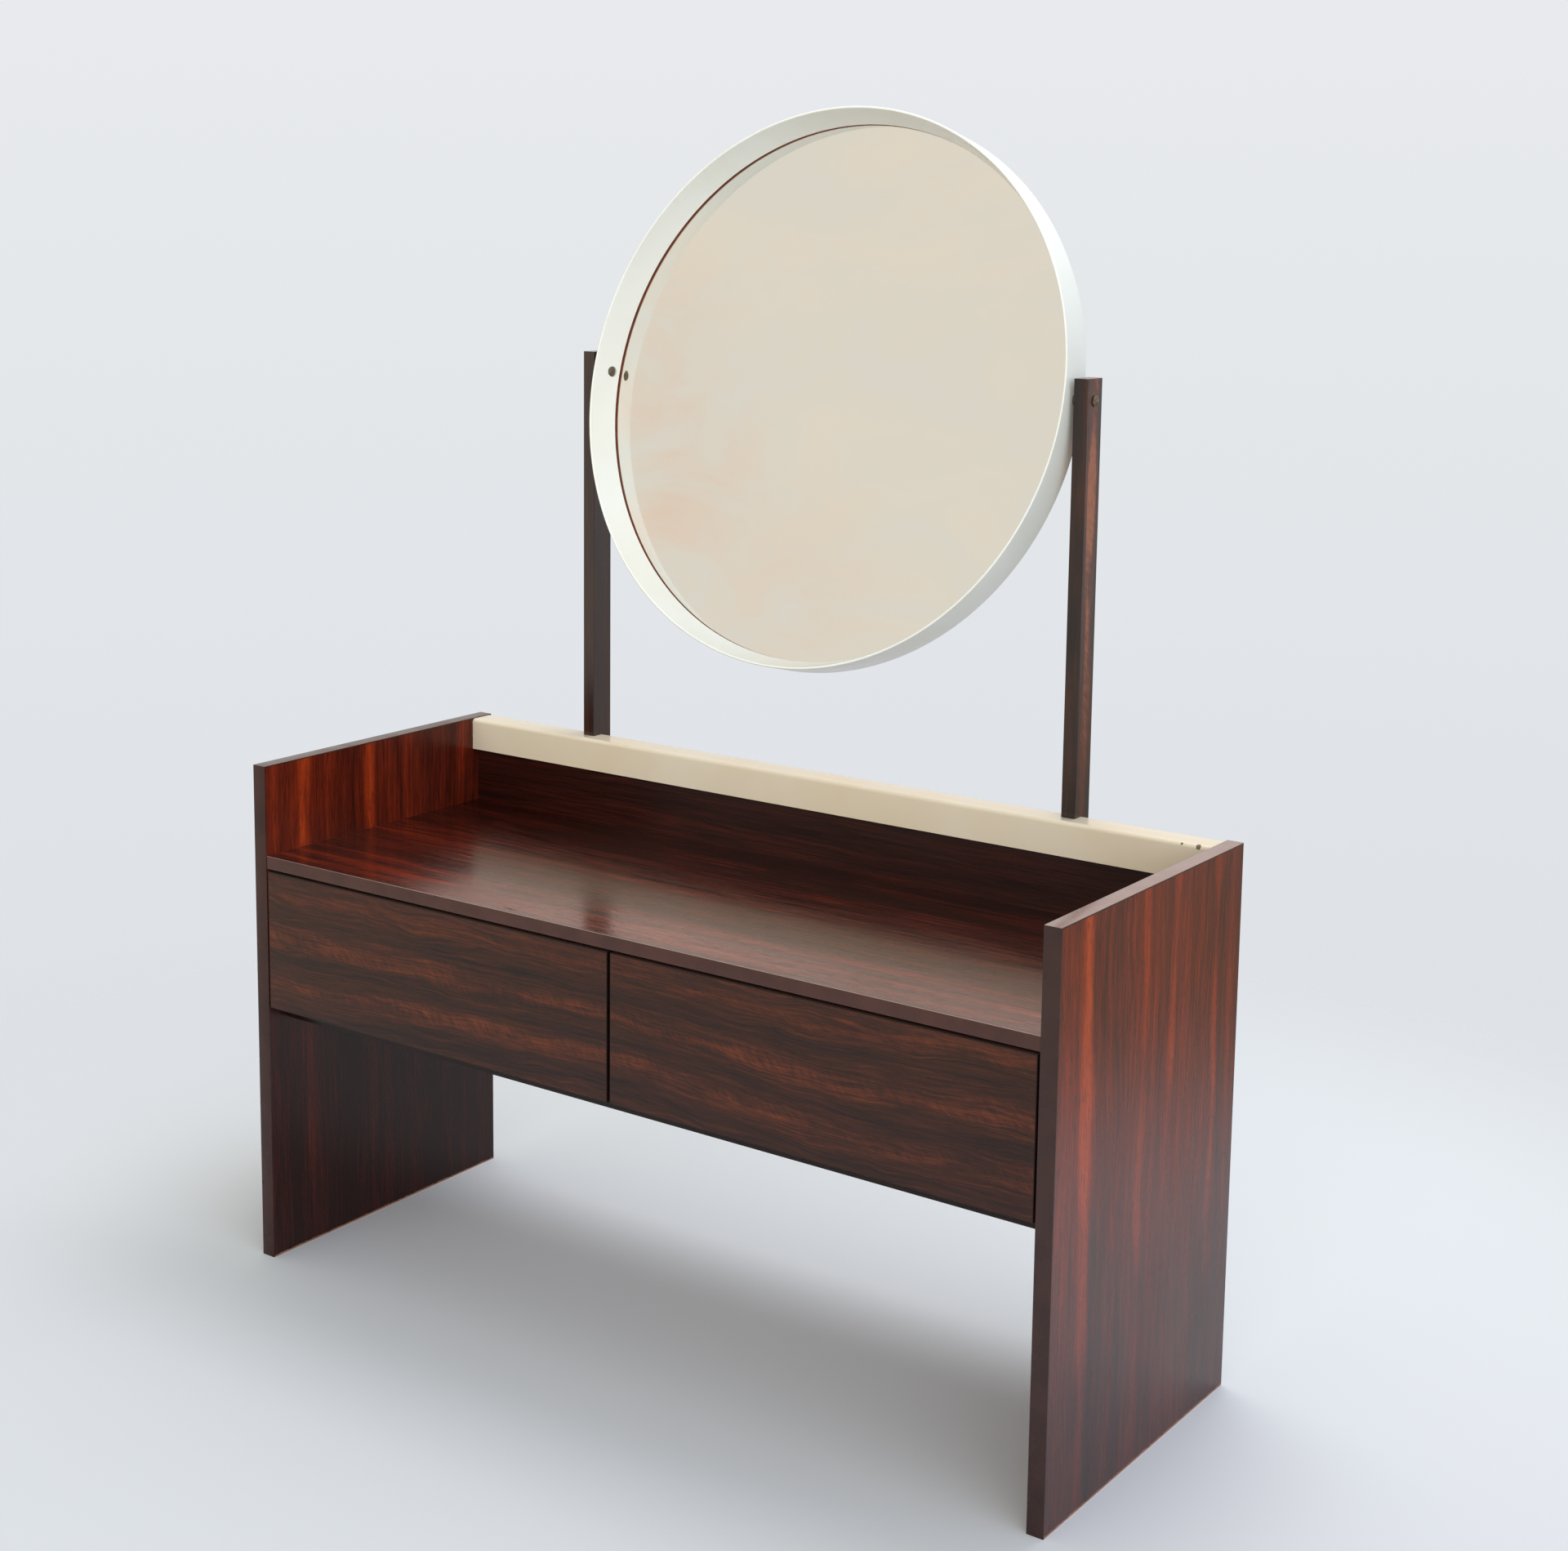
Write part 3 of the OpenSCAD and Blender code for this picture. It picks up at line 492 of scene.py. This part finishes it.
# The posts are solid wood, nearly black, and their gloss draws a bright line down each side.
# The right post's red sides are partly painted light
post_dark = rosewood("rosewood_solid_dark", "ZYX", (0.0, 37.0, 11.0), BROWN, waves=(6.0, 2.0),
                     band_mm=20.0, ior=1.6, middle=0.26)
post_red_heart_lit_side = rosewood("rosewood_solid_red_heart_lit_side", "ZYX", (0.0, 61.0, 27.0), RED_HEART_AND_LIT_SIDE, HEART_AND_LIT_SIDE,
                    waves=(6.0, 2.0), band_mm=20.0, ior=1.5, middle=0.10, darker_below=(1150.0, 450.0, 0.06))
print("rosewood materials:", sum(m.name.startswith("rosewood") for m in bpy.data.materials))

# %% [markdown]
# ## Edge bands
# The cut edges of the boards are covered with a plain dark strip of veneer edging, stained to a
# greyed brown and lacquered with the faces. It has only faint fibre, so the edges read as even
# dark lines that frame the figured faces.

# %% Edge band materials
# How much of the pale tint a face takes that looks straight up: partly dust, partly painted sheen
DUST_AND_SHEEN = 0.75


def edging(name, dark, light, dust_and_sheen_tint, ior=1.45):
    """Stained edging with soft mottling. Faces that look up take the last colour as a pale tint, partly dust
    and partly painted sheen.
    """
    material, tree = new_material(name)
    place = add(tree, "ShaderNodeTexCoord").outputs["Object"]
    # Fibre runs along whichever way the strip runs, so it is drawn as soft mottling of 30 mm
    mottle = noise(tree, place, 30, 2.0)
    stain = blend(tree, span(tree, mottle, 0.3, 0.7), linear(dark), linear(light))
    # Faces that look up get a pale tint: partly dust, partly painted sheen
    upward = add(tree, "ShaderNodeSeparateXYZ", {0: add(tree, "ShaderNodeNewGeometry").outputs["Normal"]})
    dust_and_sheen = span(tree, upward.outputs[2], 0.6, 0.95, 0.0, DUST_AND_SHEEN)
    stain = blend(tree, dust_and_sheen, stain, linear(dust_and_sheen_tint))
    dulled = span(tree, mottle, 0.3, 0.7, 0.22, 0.34)
    coat(tree, {"Base Color": stain, "Roughness": dulled, "IOR": ior})
    return material


# Stained banding: plain dark lines round the figured faces, greyed where they face up, partly by dust and
# partly by painted sheen
edge_band = edging("stained_veneer_edging", "#2B1613", "#361E19", "#A0877F")
left_band = edging("stained_veneer_edging_left", "#2F1916", "#3A211C", "#4A3A34", ior=1.36)
# The worktop's took the stain a little redder, and the drawers' is darkest and dullest. The strip on the
# board below the drawers takes the same near-black tone as painted shade for the recess behind the fronts
worktop_band = edging("stained_veneer_edging_worktop", "#3C1F1A", "#472720", "#A0877F")
darkest_band_and_recess_shade = edging("stained_veneer_edging_dark_and_painted_shade", "#190D0A", "#20120E", "#4A342E", ior=1.3)
print("edge band materials:", sum(m.name.startswith("stained_veneer") for m in bpy.data.materials))

# %% [markdown]
# ## Cream lacquer
# The rail and the hoop are sprayed with a gloss lacquer, cream on the rail and closer to white
# on the hoop. Sprayed lacquer levels to a smooth skin with a faint orange peel, yellows a little
# unevenly with age, and chips where it is knocked. The peel is really about 2 mm across, which
# is under two pixels here, so it is drawn at 7 mm.

# %% Lacquer materials
LACQUER_IOR = 1.5
# Where a chip's ragged rim lies, as a share of its radius: this much, and this much more by noise
CHIP_LEAST = 0.55
CHIP_RAGGED = 0.9
# Two old chips at the rail's right end, each with its place in metres and its radius in mm
RAIL_CHIPS = [((0.5120, 0.1226, 0.6372), 1.5), ((0.5325, 0.1236, 0.6362), 3.2)]


def lacquer(name, fresh, aged, chips=()):
    """Sprayed gloss lacquer. chips holds places in metres and radii in mm where it is knocked off."""
    material, tree = new_material(name)
    place = add(tree, "ShaderNodeTexCoord").outputs["Object"]
    age = noise(tree, place, 130, 3.0)
    colour = blend(tree, span(tree, age, 0.35, 0.7), linear(fresh), linear(aged))
    rough = span(tree, age, 0.3, 0.7, 0.16, 0.24)
    ragged = noise(tree, place, 1.6, 3.0)
    for centre, radius in chips:
        from_chip = add(tree, "ShaderNodeVectorMath", {0: place, 1: centre}, operation="DISTANCE")
        rim = add(tree, "ShaderNodeMath", {0: ragged, 1: CHIP_RAGGED * radius * MM,
                                           2: CHIP_LEAST * radius * MM}, operation="MULTIPLY_ADD")
        bare = add(tree, "ShaderNodeMath", {0: from_chip.outputs["Value"], 1: rim.outputs[0]},
                   operation="LESS_THAN").outputs[0]
        colour = blend(tree, bare, colour, linear("#6E5F4C"))
        rough = add(tree, "ShaderNodeMix", {0: bare, 2: rough, 3: 0.75}).outputs[0]
    peel = noise(tree, place, 7, 0.0)
    bump = add(tree, "ShaderNodeBump", {"Strength": 0.02, "Distance": 0.02 * MM, "Height": peel})
    coat(tree, {"Base Color": colour, "Roughness": rough, "IOR": LACQUER_IOR, "Normal": bump.outputs[0]})
    return material


# Both give the eye long soft highlights over a pale body, against the dark wood
rail_lacquer = lacquer("cream_lacquer_rail", "#DFD4BE", "#DACCB0", RAIL_CHIPS)
hoop_lacquer = lacquer("white_lacquer_hoop", "#F0F3EC", "#ECECE1")
print("lacquers ready")

# %% [markdown]
# ## Mirror silver
# A mirror is float glass with silver behind it. Seen as one, it is a metal with the faint
# warmth of an old mirror. Years of wiping leave a haze of smears that softens the reflection a
# little. A few rosy patches are painted into the silver as painted warm reflections.

# %% Mirror material
# Smears are about 250 mm across and half as high, and each painted reflection has a place, a reach and a
# strength
SMEARS_PER_METRE = (4.0, 4.0, 9.0)
PAINTED_WARM_REFLECTIONS = [
    ((-0.22, 0.15, 0.99), 0.20, 0.75),
    ((-0.27, 0.16, 1.16), 0.17, 0.40),
    ((-0.02, 0.10, 0.86), 0.22, 0.35),
]

mirror_silver, tree = new_material("silvered_glass")
place = add(tree, "ShaderNodeTexCoord").outputs["Object"]
wiped = add(tree, "ShaderNodeVectorMath", {0: place, 1: SMEARS_PER_METRE}, operation="MULTIPLY")
smear = add(tree, "ShaderNodeTexNoise", {"Vector": wiped.outputs[0], "Scale": 1.0, "Detail": 4.0,
                                         "Roughness": 0.6, "Distortion": 0.6}).outputs[0]
patchy = span(tree, smear, 0.3, 0.75, smooth=True)
silver = blend(tree, patchy, linear("#ECEDEB"), linear("#F3EEE6"))
# Rosy patches painted into the silver are painted warm reflections
for centre, reach, strength in PAINTED_WARM_REFLECTIONS:
    from_warm_reflection = add(tree, "ShaderNodeVectorMath", {0: place, 1: centre}, operation="DISTANCE")
    warm_reflection = span(tree, from_warm_reflection.outputs["Value"], reach, 0.0, 0.0, strength, smooth=True)
    rosy = add(tree, "ShaderNodeMath", {0: warm_reflection, 1: patchy}, operation="MULTIPLY")
    silver = blend(tree, rosy.outputs[0], silver, linear("#EFD3C4"))
hazed = span(tree, smear, 0.4, 0.75, 0.06, 0.09)
coat(tree, {"Base Color": silver, "Metallic": 1.0, "Roughness": hazed})
print("mirror ready")

# %% [markdown]
# ## Plain woods inside
# The drawer boxes and runners are planed beech, a pale pinkish wood with short dark flecks. The
# drawer bottoms and the back behind the drawers are sanded birch plywood, and the panel behind
# the glass is oil-tempered hardboard, dark brown with a faint screen pattern. All of them are
# left unlacquered, so they scatter light and shine very little.

# %% Inner wood material
# Flecks are 7 mm long. Real ones are 0.4 mm wide, drawn at 0.9 mm so that they show
FLECK_LENGTH = 7 * MM
FLECK_WIDTH = 0.9 * MM


def plain_wood(name, grain, light, dark, width_mm, length_mm, fleck=0.0, rough=0.55):
    """Unlacquered wood with soft growth bands and short flecks, its grain along the first axis named."""
    material, tree = new_material(name)
    place = add(tree, "ShaderNodeTexCoord").outputs["Object"]
    axes = add(tree, "ShaderNodeSeparateXYZ", {0: place})
    spot = add(tree, "ShaderNodeCombineXYZ", {k: axes.outputs["XYZ".index(a)] for k, a in enumerate(grain)})
    band_scale = (1 / (length_mm * MM), 1 / (width_mm * MM), 1 / (width_mm * MM))
    band_at = add(tree, "ShaderNodeVectorMath", {0: spot.outputs[0], 1: band_scale}, operation="MULTIPLY")
    bands = add(tree, "ShaderNodeTexNoise", {"Vector": band_at.outputs[0], "Scale": 1.0, "Detail": 4.0})
    tint = blend(tree, span(tree, bands.outputs[0], 0.3, 0.7), linear(light), linear(dark))
    fleck_scale = (1 / FLECK_LENGTH, 1 / FLECK_WIDTH, 1 / FLECK_WIDTH)
    fleck_at = add(tree, "ShaderNodeVectorMath", {0: spot.outputs[0], 1: fleck_scale}, operation="MULTIPLY")
    flecks = add(tree, "ShaderNodeTexNoise", {"Vector": fleck_at.outputs[0], "Scale": 1.0, "Detail": 1.0})
    tint = blend(tree, span(tree, flecks.outputs[0], 0.6, 0.72, 0.0, fleck), tint, linear("#7A5432"))
    bump = add(tree, "ShaderNodeBump", {"Strength": 0.3, "Distance": 0.05 * MM, "Height": flecks.outputs[0]})
    coat(tree, {"Base Color": tint, "Roughness": rough, "Normal": bump.outputs[0]})
    return material


# Pale matt beech and plywood light up the inside when a drawer is open
beech_deep = plain_wood("planed_beech_front_to_back", "YZX", "#D8B88F", "#C49C6E", 16, 260, 0.5)
beech_wide = plain_wood("planed_beech_side_to_side", "XZY", "#D8B88F", "#C49C6E", 16, 260, 0.5)
birch_ply = plain_wood("sanded_birch_plywood", "XYZ", "#D9BE95", "#CBA877", 34, 420, 0.25)
birch_ply_back = plain_wood("sanded_birch_plywood_back", "XZY", "#D2B488", "#C19C6A", 34, 420, 0.25)
# Hardboard is an even matt brown, and the stained rebate is the thin reddish line round the glass
hardboard = plain_wood("tempered_hardboard", "XYZ", "#6A4A33", "#5A3D2A", 5, 5, 0.4, rough=0.5)
raw_rebate = plain_wood("stained_rebate", "XYZ", "#C98A70", "#B4745C", 8, 30, 0.2, rough=0.6)
print("plain woods ready")

# %% [markdown]
# ## Bronzed steel and plain steel
# The pivot bolts, spacers and cap nuts are steel with a dark bronzed finish, worn a little
# lighter on the crown. The screws and nails are plain steel. A metal has no colour of its own
# under the gloss, so the tint is in its reflection, and brushing leaves it satin.

# %% Metal material
# How much rougher the most rubbed places are
RUBBED_DULLING = 0.12


def steel(name, deep, worn, rough):
    """Turned steel with a finish that is rubbed lighter in small patches."""
    material, tree = new_material(name)
    place = add(tree, "ShaderNodeTexCoord").outputs["Object"]
    rubbed = noise(tree, place, 3, 3.0)
    tint = blend(tree, span(tree, rubbed, 0.4, 0.65), linear(deep), linear(worn))
    gloss = span(tree, rubbed, 0.3, 0.7, rough, rough + RUBBED_DULLING)
    coat(tree, {"Base Color": tint, "Metallic": 1.0, "Roughness": gloss})
    return material


# The bronzed finish reads as a small dark dome with one soft light, the plain one as bright dots
bronzed_steel = steel("bronzed_steel", "#6B6355", "#857B6A", 0.38)
plain_steel = steel("plain_steel", "#A3A19C", "#B9B7B2", 0.32)
print("metals ready")

# %% [markdown]
# ## Edge bands with eased arrises
# A maker eases each lacquered arris with fine paper, and the thin bright line that it catches is
# what makes an edge look finished. A strip of banding is drawn as a small section with two
# rounded corners that runs round the board's edge and turns mitred corners.

# %% Banding
# An arris is rounded to half a millimetre, in four steps
ARRIS = 0.5 * MM
ARRIS_STEPS = 4


def finish_mesh(name, shape, materials, body, slot, *nodes, angle=30.0):
    """Makes an object of a bmesh: smooth but for sharp edges, riding its body, standing for its nodes."""
    bmesh.ops.recalc_face_normals(shape, faces=shape.faces)
    mesh = bpy.data.meshes.new(name)
    shape.to_mesh(mesh)
    shape.free()
    for material in materials:
        mesh.materials.append(material)
    mesh.polygons.foreach_set("use_smooth", [True] * len(mesh.polygons))
    mesh.set_sharp_from_angle(angle=math.radians(angle))
    piece = bpy.data.objects.new(name, mesh)
    scene.collection.objects.link(piece)
    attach(piece, body)
    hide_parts(*nodes)
    return piece


def banding(name, body, axis, corners, inward, thick, finish, closed=False):
    """A strip of edge band over a CAD node of the same name. axis is the way across the strip, corners
    are the outer corners of its run in the other two axes, and inward points into the board there."""
    low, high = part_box(name)
    low, high = low[axis], high[axis]
    turns = [k / ARRIS_STEPS * math.pi / 2 for k in range(ARRIS_STEPS + 1)]
    section = [(low, thick)]
    section += [(low + ARRIS * (1 - math.cos(t)), ARRIS * (1 - math.sin(t))) for t in turns]
    section += [(low + high - s, d) for s, d in reversed(section)]
    shape = bmesh.new()
    rings = []
    for corner, way in zip(corners, inward):
        ring = []
        for s, d in section:
            point = [corner[0] + way[0] * d, corner[1] + way[1] * d]
            point.insert(axis, s)
            ring.append(shape.verts.new(point))
        rings.append(ring)
    count = len(rings)
    for k in range(count if closed else count - 1):
        here, there = rings[k], rings[(k + 1) % count]
        for j in range(len(section)):
            i = (j + 1) % len(section)
            shape.faces.new((here[j], here[i], there[i], there[j]))
    if not closed:
        shape.faces.new(rings[0])
        shape.faces.new(reversed(rings[-1]))
    return finish_mesh(name + "_eased", shape, [finish], body, "edge_band", name)


for hand, finish in (("left", left_band), ("right", edge_band)):
    low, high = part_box("side_edging_" + hand)
    core_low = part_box("side_" + hand)[0]
    banding("side_edging_" + hand, "case", 0,
            [(low.y, low.z), (low.y, high.z), (high.y, high.z), (high.y, low.z)],
            [(1, 0), (1, -1), (-1, -1), (-1, 0)], core_low.y - low.y, finish)
    low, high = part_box("drawer_%s_edging" % hand)
    core_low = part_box("drawer_%s_front" % hand)[0]
    banding("drawer_%s_edging" % hand, "drawer_" + hand, 1,
            [(low.x, low.z), (low.x, high.z), (high.x, high.z), (high.x, low.z)],
            [(1, 1), (1, -1), (-1, -1), (-1, 1)], core_low.z - low.z, darkest_band_and_recess_shade, closed=True)
# The board below the drawers gets the darkest strip as painted shade, for the recess behind the fronts
for name, finish in (("worktop_edging", worktop_band), ("lower_board_edging", darkest_band_and_recess_shade)):
    low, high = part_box(name)
    banding(name, "case", 2, [(low.x, low.y), (high.x, low.y)], [(0, 1), (0, 1)], high.y - low.y,
            finish)
print("bands with arrises of", ARRIS / MM, "mm")

# %% [markdown]
# ## The hoop
# The hoop is a deep ring turned and lacquered, thin and rounded at its front rim, thicker
# towards the glass, with a stained rebate behind the lip that holds it. It is spun from its
# section in fine steps, so that its long highlights run without corners, and the seats and
# holes of the two pivot bolts are cut out of it.

# %% Mirror frame
# Where the mirror hangs: the middle of the line through its pivots, in metres, and its lean
PIVOT = Vector((0, 0.156042, 1.119))
LEAN = math.radians(13.6)
# The same sizes as in the CAD model, in mm. The pivots lie this far behind the front rim, and
# this far above the hoop's middle
PIVOT_IN = 27.2
PIVOT_UP = 5.8
# The hoop's outer radius and depth, its thickness at the rim, at the lip and round the glass,
# and how far the glass lies behind the rim
HOOP_R = 343.3
HOOP_DEPTH = 48.0
RIM_T = 2.8
LIP_T = 12.3
SKIRT_T = 8.3
GLASS_IN = 38.8
# Steps in a full turn, and the angle in degrees from which an edge stays sharp
SPINS = 288
SHARP_TURN = 35.0
to_table = Matrix.Translation(PIVOT) @ Matrix.Rotation(-LEAN, 4, "X")


def arc(r, depth, radius, start, end, steps):
    """Points on an arc of a section, given as radius from the axis and depth from the rim, in mm."""
    turns = [math.radians(start + (end - start) * k / steps) for k in range(steps + 1)]
    return [(r + radius * math.cos(t), depth + radius * math.sin(t)) for t in turns]


def spin(section, finishes=None):
    """Spins a closed section round the mirror's axis. finishes gives each side's material number."""
    shape = bmesh.new()
    rings = []
    for k in range(SPINS):
        a = 2 * math.pi * k / SPINS
        rings.append([shape.verts.new((r * MM * math.cos(a), (d - PIVOT_IN) * MM,
                                       (r * math.sin(a) - PIVOT_UP) * MM)) for r, d in section])
    for k in range(SPINS):
        here, there = rings[k], rings[(k + 1) % SPINS]
        for j in range(len(section)):
            i = (j + 1) % len(section)
            face = shape.faces.new((here[j], here[i], there[i], there[j]))
            face.material_index = finishes[j] if finishes else 0
    return shape


# %% Hoop
# How round the lip's inner edge and the hoop's back edge are, in mm
LIP_R = 0.5
BACK_R = 2.0
rim = RIM_T / 2
lacquered = arc(HOOP_R - rim, rim, rim, 0, -180, 16)
slope = math.atan2(LIP_T - RIM_T, GLASS_IN - rim)
lacquered += arc(HOOP_R - LIP_T + LIP_R, GLASS_IN - LIP_R, LIP_R, 180 - math.degrees(slope), 90, 4)
rebate = [(HOOP_R - SKIRT_T, GLASS_IN), (HOOP_R - SKIRT_T, HOOP_DEPTH)]
back = arc(HOOP_R - BACK_R, HOOP_DEPTH - BACK_R, BACK_R, 90, 0, 6)
section = lacquered + rebate + back
# The two sides of the rebate keep bare stained wood, which is the second material
finishes = [0] * len(section)
finishes[len(lacquered) - 1] = 1
finishes[len(lacquered)] = 1
shape = spin(section, finishes)
bmesh.ops.recalc_face_normals(shape, faces=shape.faces)
raw_hoop = bpy.data.meshes.new("hoop_blank")
shape.to_mesh(raw_hoop)
shape.free()
hoop_blank = bpy.data.objects.new("hoop_blank", raw_hoop)
scene.collection.objects.link(hoop_blank)

# Each pivot needs a hole for the bolt, a seat for its head inside and one for the spacer
# outside. A drill is a round of many sides that runs a little past what it cuts
BOLT_R = 3.0
HEAD_R = 6.4
SPACER_R = 7.0
SEAT_PLAY = 0.3
SEAT_SINK = 0.4
DRILL_PAST = 2
DRILL_SIDES = 48
taper = math.tan(slope)
inmost = HOOP_R - LIP_T - DRILL_PAST
outmost = HOOP_R + DRILL_PAST
head_seat = HOOP_R - RIM_T - taper * (PIVOT_IN - rim) + taper * (HEAD_R + SEAT_SINK)
drills = [
    (inmost, outmost, BOLT_R),
    (inmost, head_seat, HEAD_R + SEAT_PLAY),
    (HOOP_R - SEAT_SINK, outmost, SPACER_R + SEAT_PLAY),
]
cut_by = []
for hand in (-1, 1):
    for near, far, radius in drills:
        tool = bmesh.new()
        middle = Matrix.Translation((hand * (near + far) / 2 * MM, 0, 0))
        bmesh.ops.create_cone(tool, cap_ends=True, segments=DRILL_SIDES, depth=(far - near) * MM,
                              radius1=radius * MM, radius2=radius * MM,
                              matrix=middle @ Matrix.Rotation(math.pi / 2, 4, "Y"))
        mesh = bpy.data.meshes.new("drill")
        tool.to_mesh(mesh)
        tool.free()
        drill = bpy.data.objects.new("drill", mesh)
        scene.collection.objects.link(drill)
        cut = hoop_blank.modifiers.new("seat", "BOOLEAN")
        cut.operation = "DIFFERENCE"
        cut.solver = "EXACT"
        cut.object = drill
        cut_by.append(drill)
bpy.context.view_layer.update()
cut_mesh = bpy.data.meshes.new_from_object(hoop_blank.evaluated_get(bpy.context.evaluated_depsgraph_get()))
shape = bmesh.new()
shape.from_mesh(cut_mesh)
shape.transform(to_table)
for spare in [hoop_blank] + cut_by:
    bpy.data.objects.remove(spare)
hoop = finish_mesh("hoop_lacquered", shape, [hoop_lacquer, raw_rebate], "mirror", "cream_lacquer",
                   "mirror_hoop", angle=SHARP_TURN)
print("hoop faces:", len(hoop.data.polygons))

# %% [markdown]
# ## The mirror
# The silver lies on the back of 4 mm glass, and glass makes what is behind it look nearer: seen
# from the front the silver seems to lie only 4 / 1.5, or about 2.7 mm, behind the lip. One
# silvered disc at that depth gives the true reflection and the thin reddish rebate round
# it, which solid glass over silver would give only with far more work for the renderer.

# %% Silvered disc
# The glass's thickness and index of refraction, its play in the rebate, and its ground edge
GLASS_T = 4.0
GLASS_IOR = 1.5
GLASS_PLAY = 0.3
GROUND = 0.4
SILVER_IN = GLASS_IN + GLASS_T / GLASS_IOR
glass_r = HOOP_R - SKIRT_T - GLASS_PLAY
glass_back = GLASS_IN + GLASS_T
shape = bmesh.new()
rings = []
for r, depth in ((glass_r - GROUND, SILVER_IN), (glass_r, SILVER_IN + GROUND), (glass_r, glass_back)):
    turns = [2 * math.pi * k / SPINS for k in range(SPINS)]
    rings.append([shape.verts.new((r * MM * math.cos(a), (depth - PIVOT_IN) * MM,
                                   (r * math.sin(a) - PIVOT_UP) * MM)) for a in turns])
shape.faces.new(rings[0])
shape.faces.new(reversed(rings[-1]))
for near, far in zip(rings, rings[1:]):
    for k in range(SPINS):
        i = (k + 1) % SPINS
        shape.faces.new((near[k], far[k], far[i], near[i]))
shape.transform(to_table)
finish_mesh("mirror_silvered", shape, [mirror_silver], "mirror", "mirror_glass", "mirror_glass")
print("silvered disc radius", glass_r, "mm")

# %% [markdown]
# ## Dressing the solids
# Each solid whose shape is already right gets its material, and stays exactly where it is.

# %% Materials on the solids
dress = {
    left_veneer: ["side_left"],
    right_veneer: ["side_right"],
    worktop_veneer: ["worktop", "lower_board"],
    inner_veneer: ["divider"],
    panel_veneer: ["back_panel"],
    front_veneer: ["drawer_left_front", "drawer_right_front"],
    post_dark: ["post_left"],
    post_red_heart_lit_side: ["post_right"],
    rail_lacquer: ["rail"],
    birch_ply: ["drawer_left_bottom", "drawer_right_bottom"],
    birch_ply_back: ["plywood_back"],
    hardboard: ["mirror_backing"],
    beech_deep: ["runner_left_outer", "runner_left_inner", "runner_right_inner", "runner_right_outer",
                 "drawer_left_side_outer", "drawer_left_side_inner", "drawer_right_side_outer",
                 "drawer_right_side_inner", "drawer_left_dowels", "drawer_right_dowels"],
    beech_wide: ["drawer_left_back", "drawer_right_back", "worktop_dowels", "lower_board_dowels",
                 "rail_dowels", "divider_dowels"],
    bronzed_steel: ["pivot_bolts", "pivot_spacers", "cap_nuts"],
    plain_steel: ["post_screws", "plywood_screws", "runner_screws", "drawer_left_nails",
                  "drawer_right_nails", "backing_pins"],
}
for material, names in dress.items():
    for name in names:
        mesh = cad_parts[name].data
        mesh.materials.clear()
        mesh.materials.append(material)
dressed = [name for names in dress.values() for name in names]
print("dressed", len(dressed), "solids; left over:", sorted(set(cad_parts) - set(dressed)))
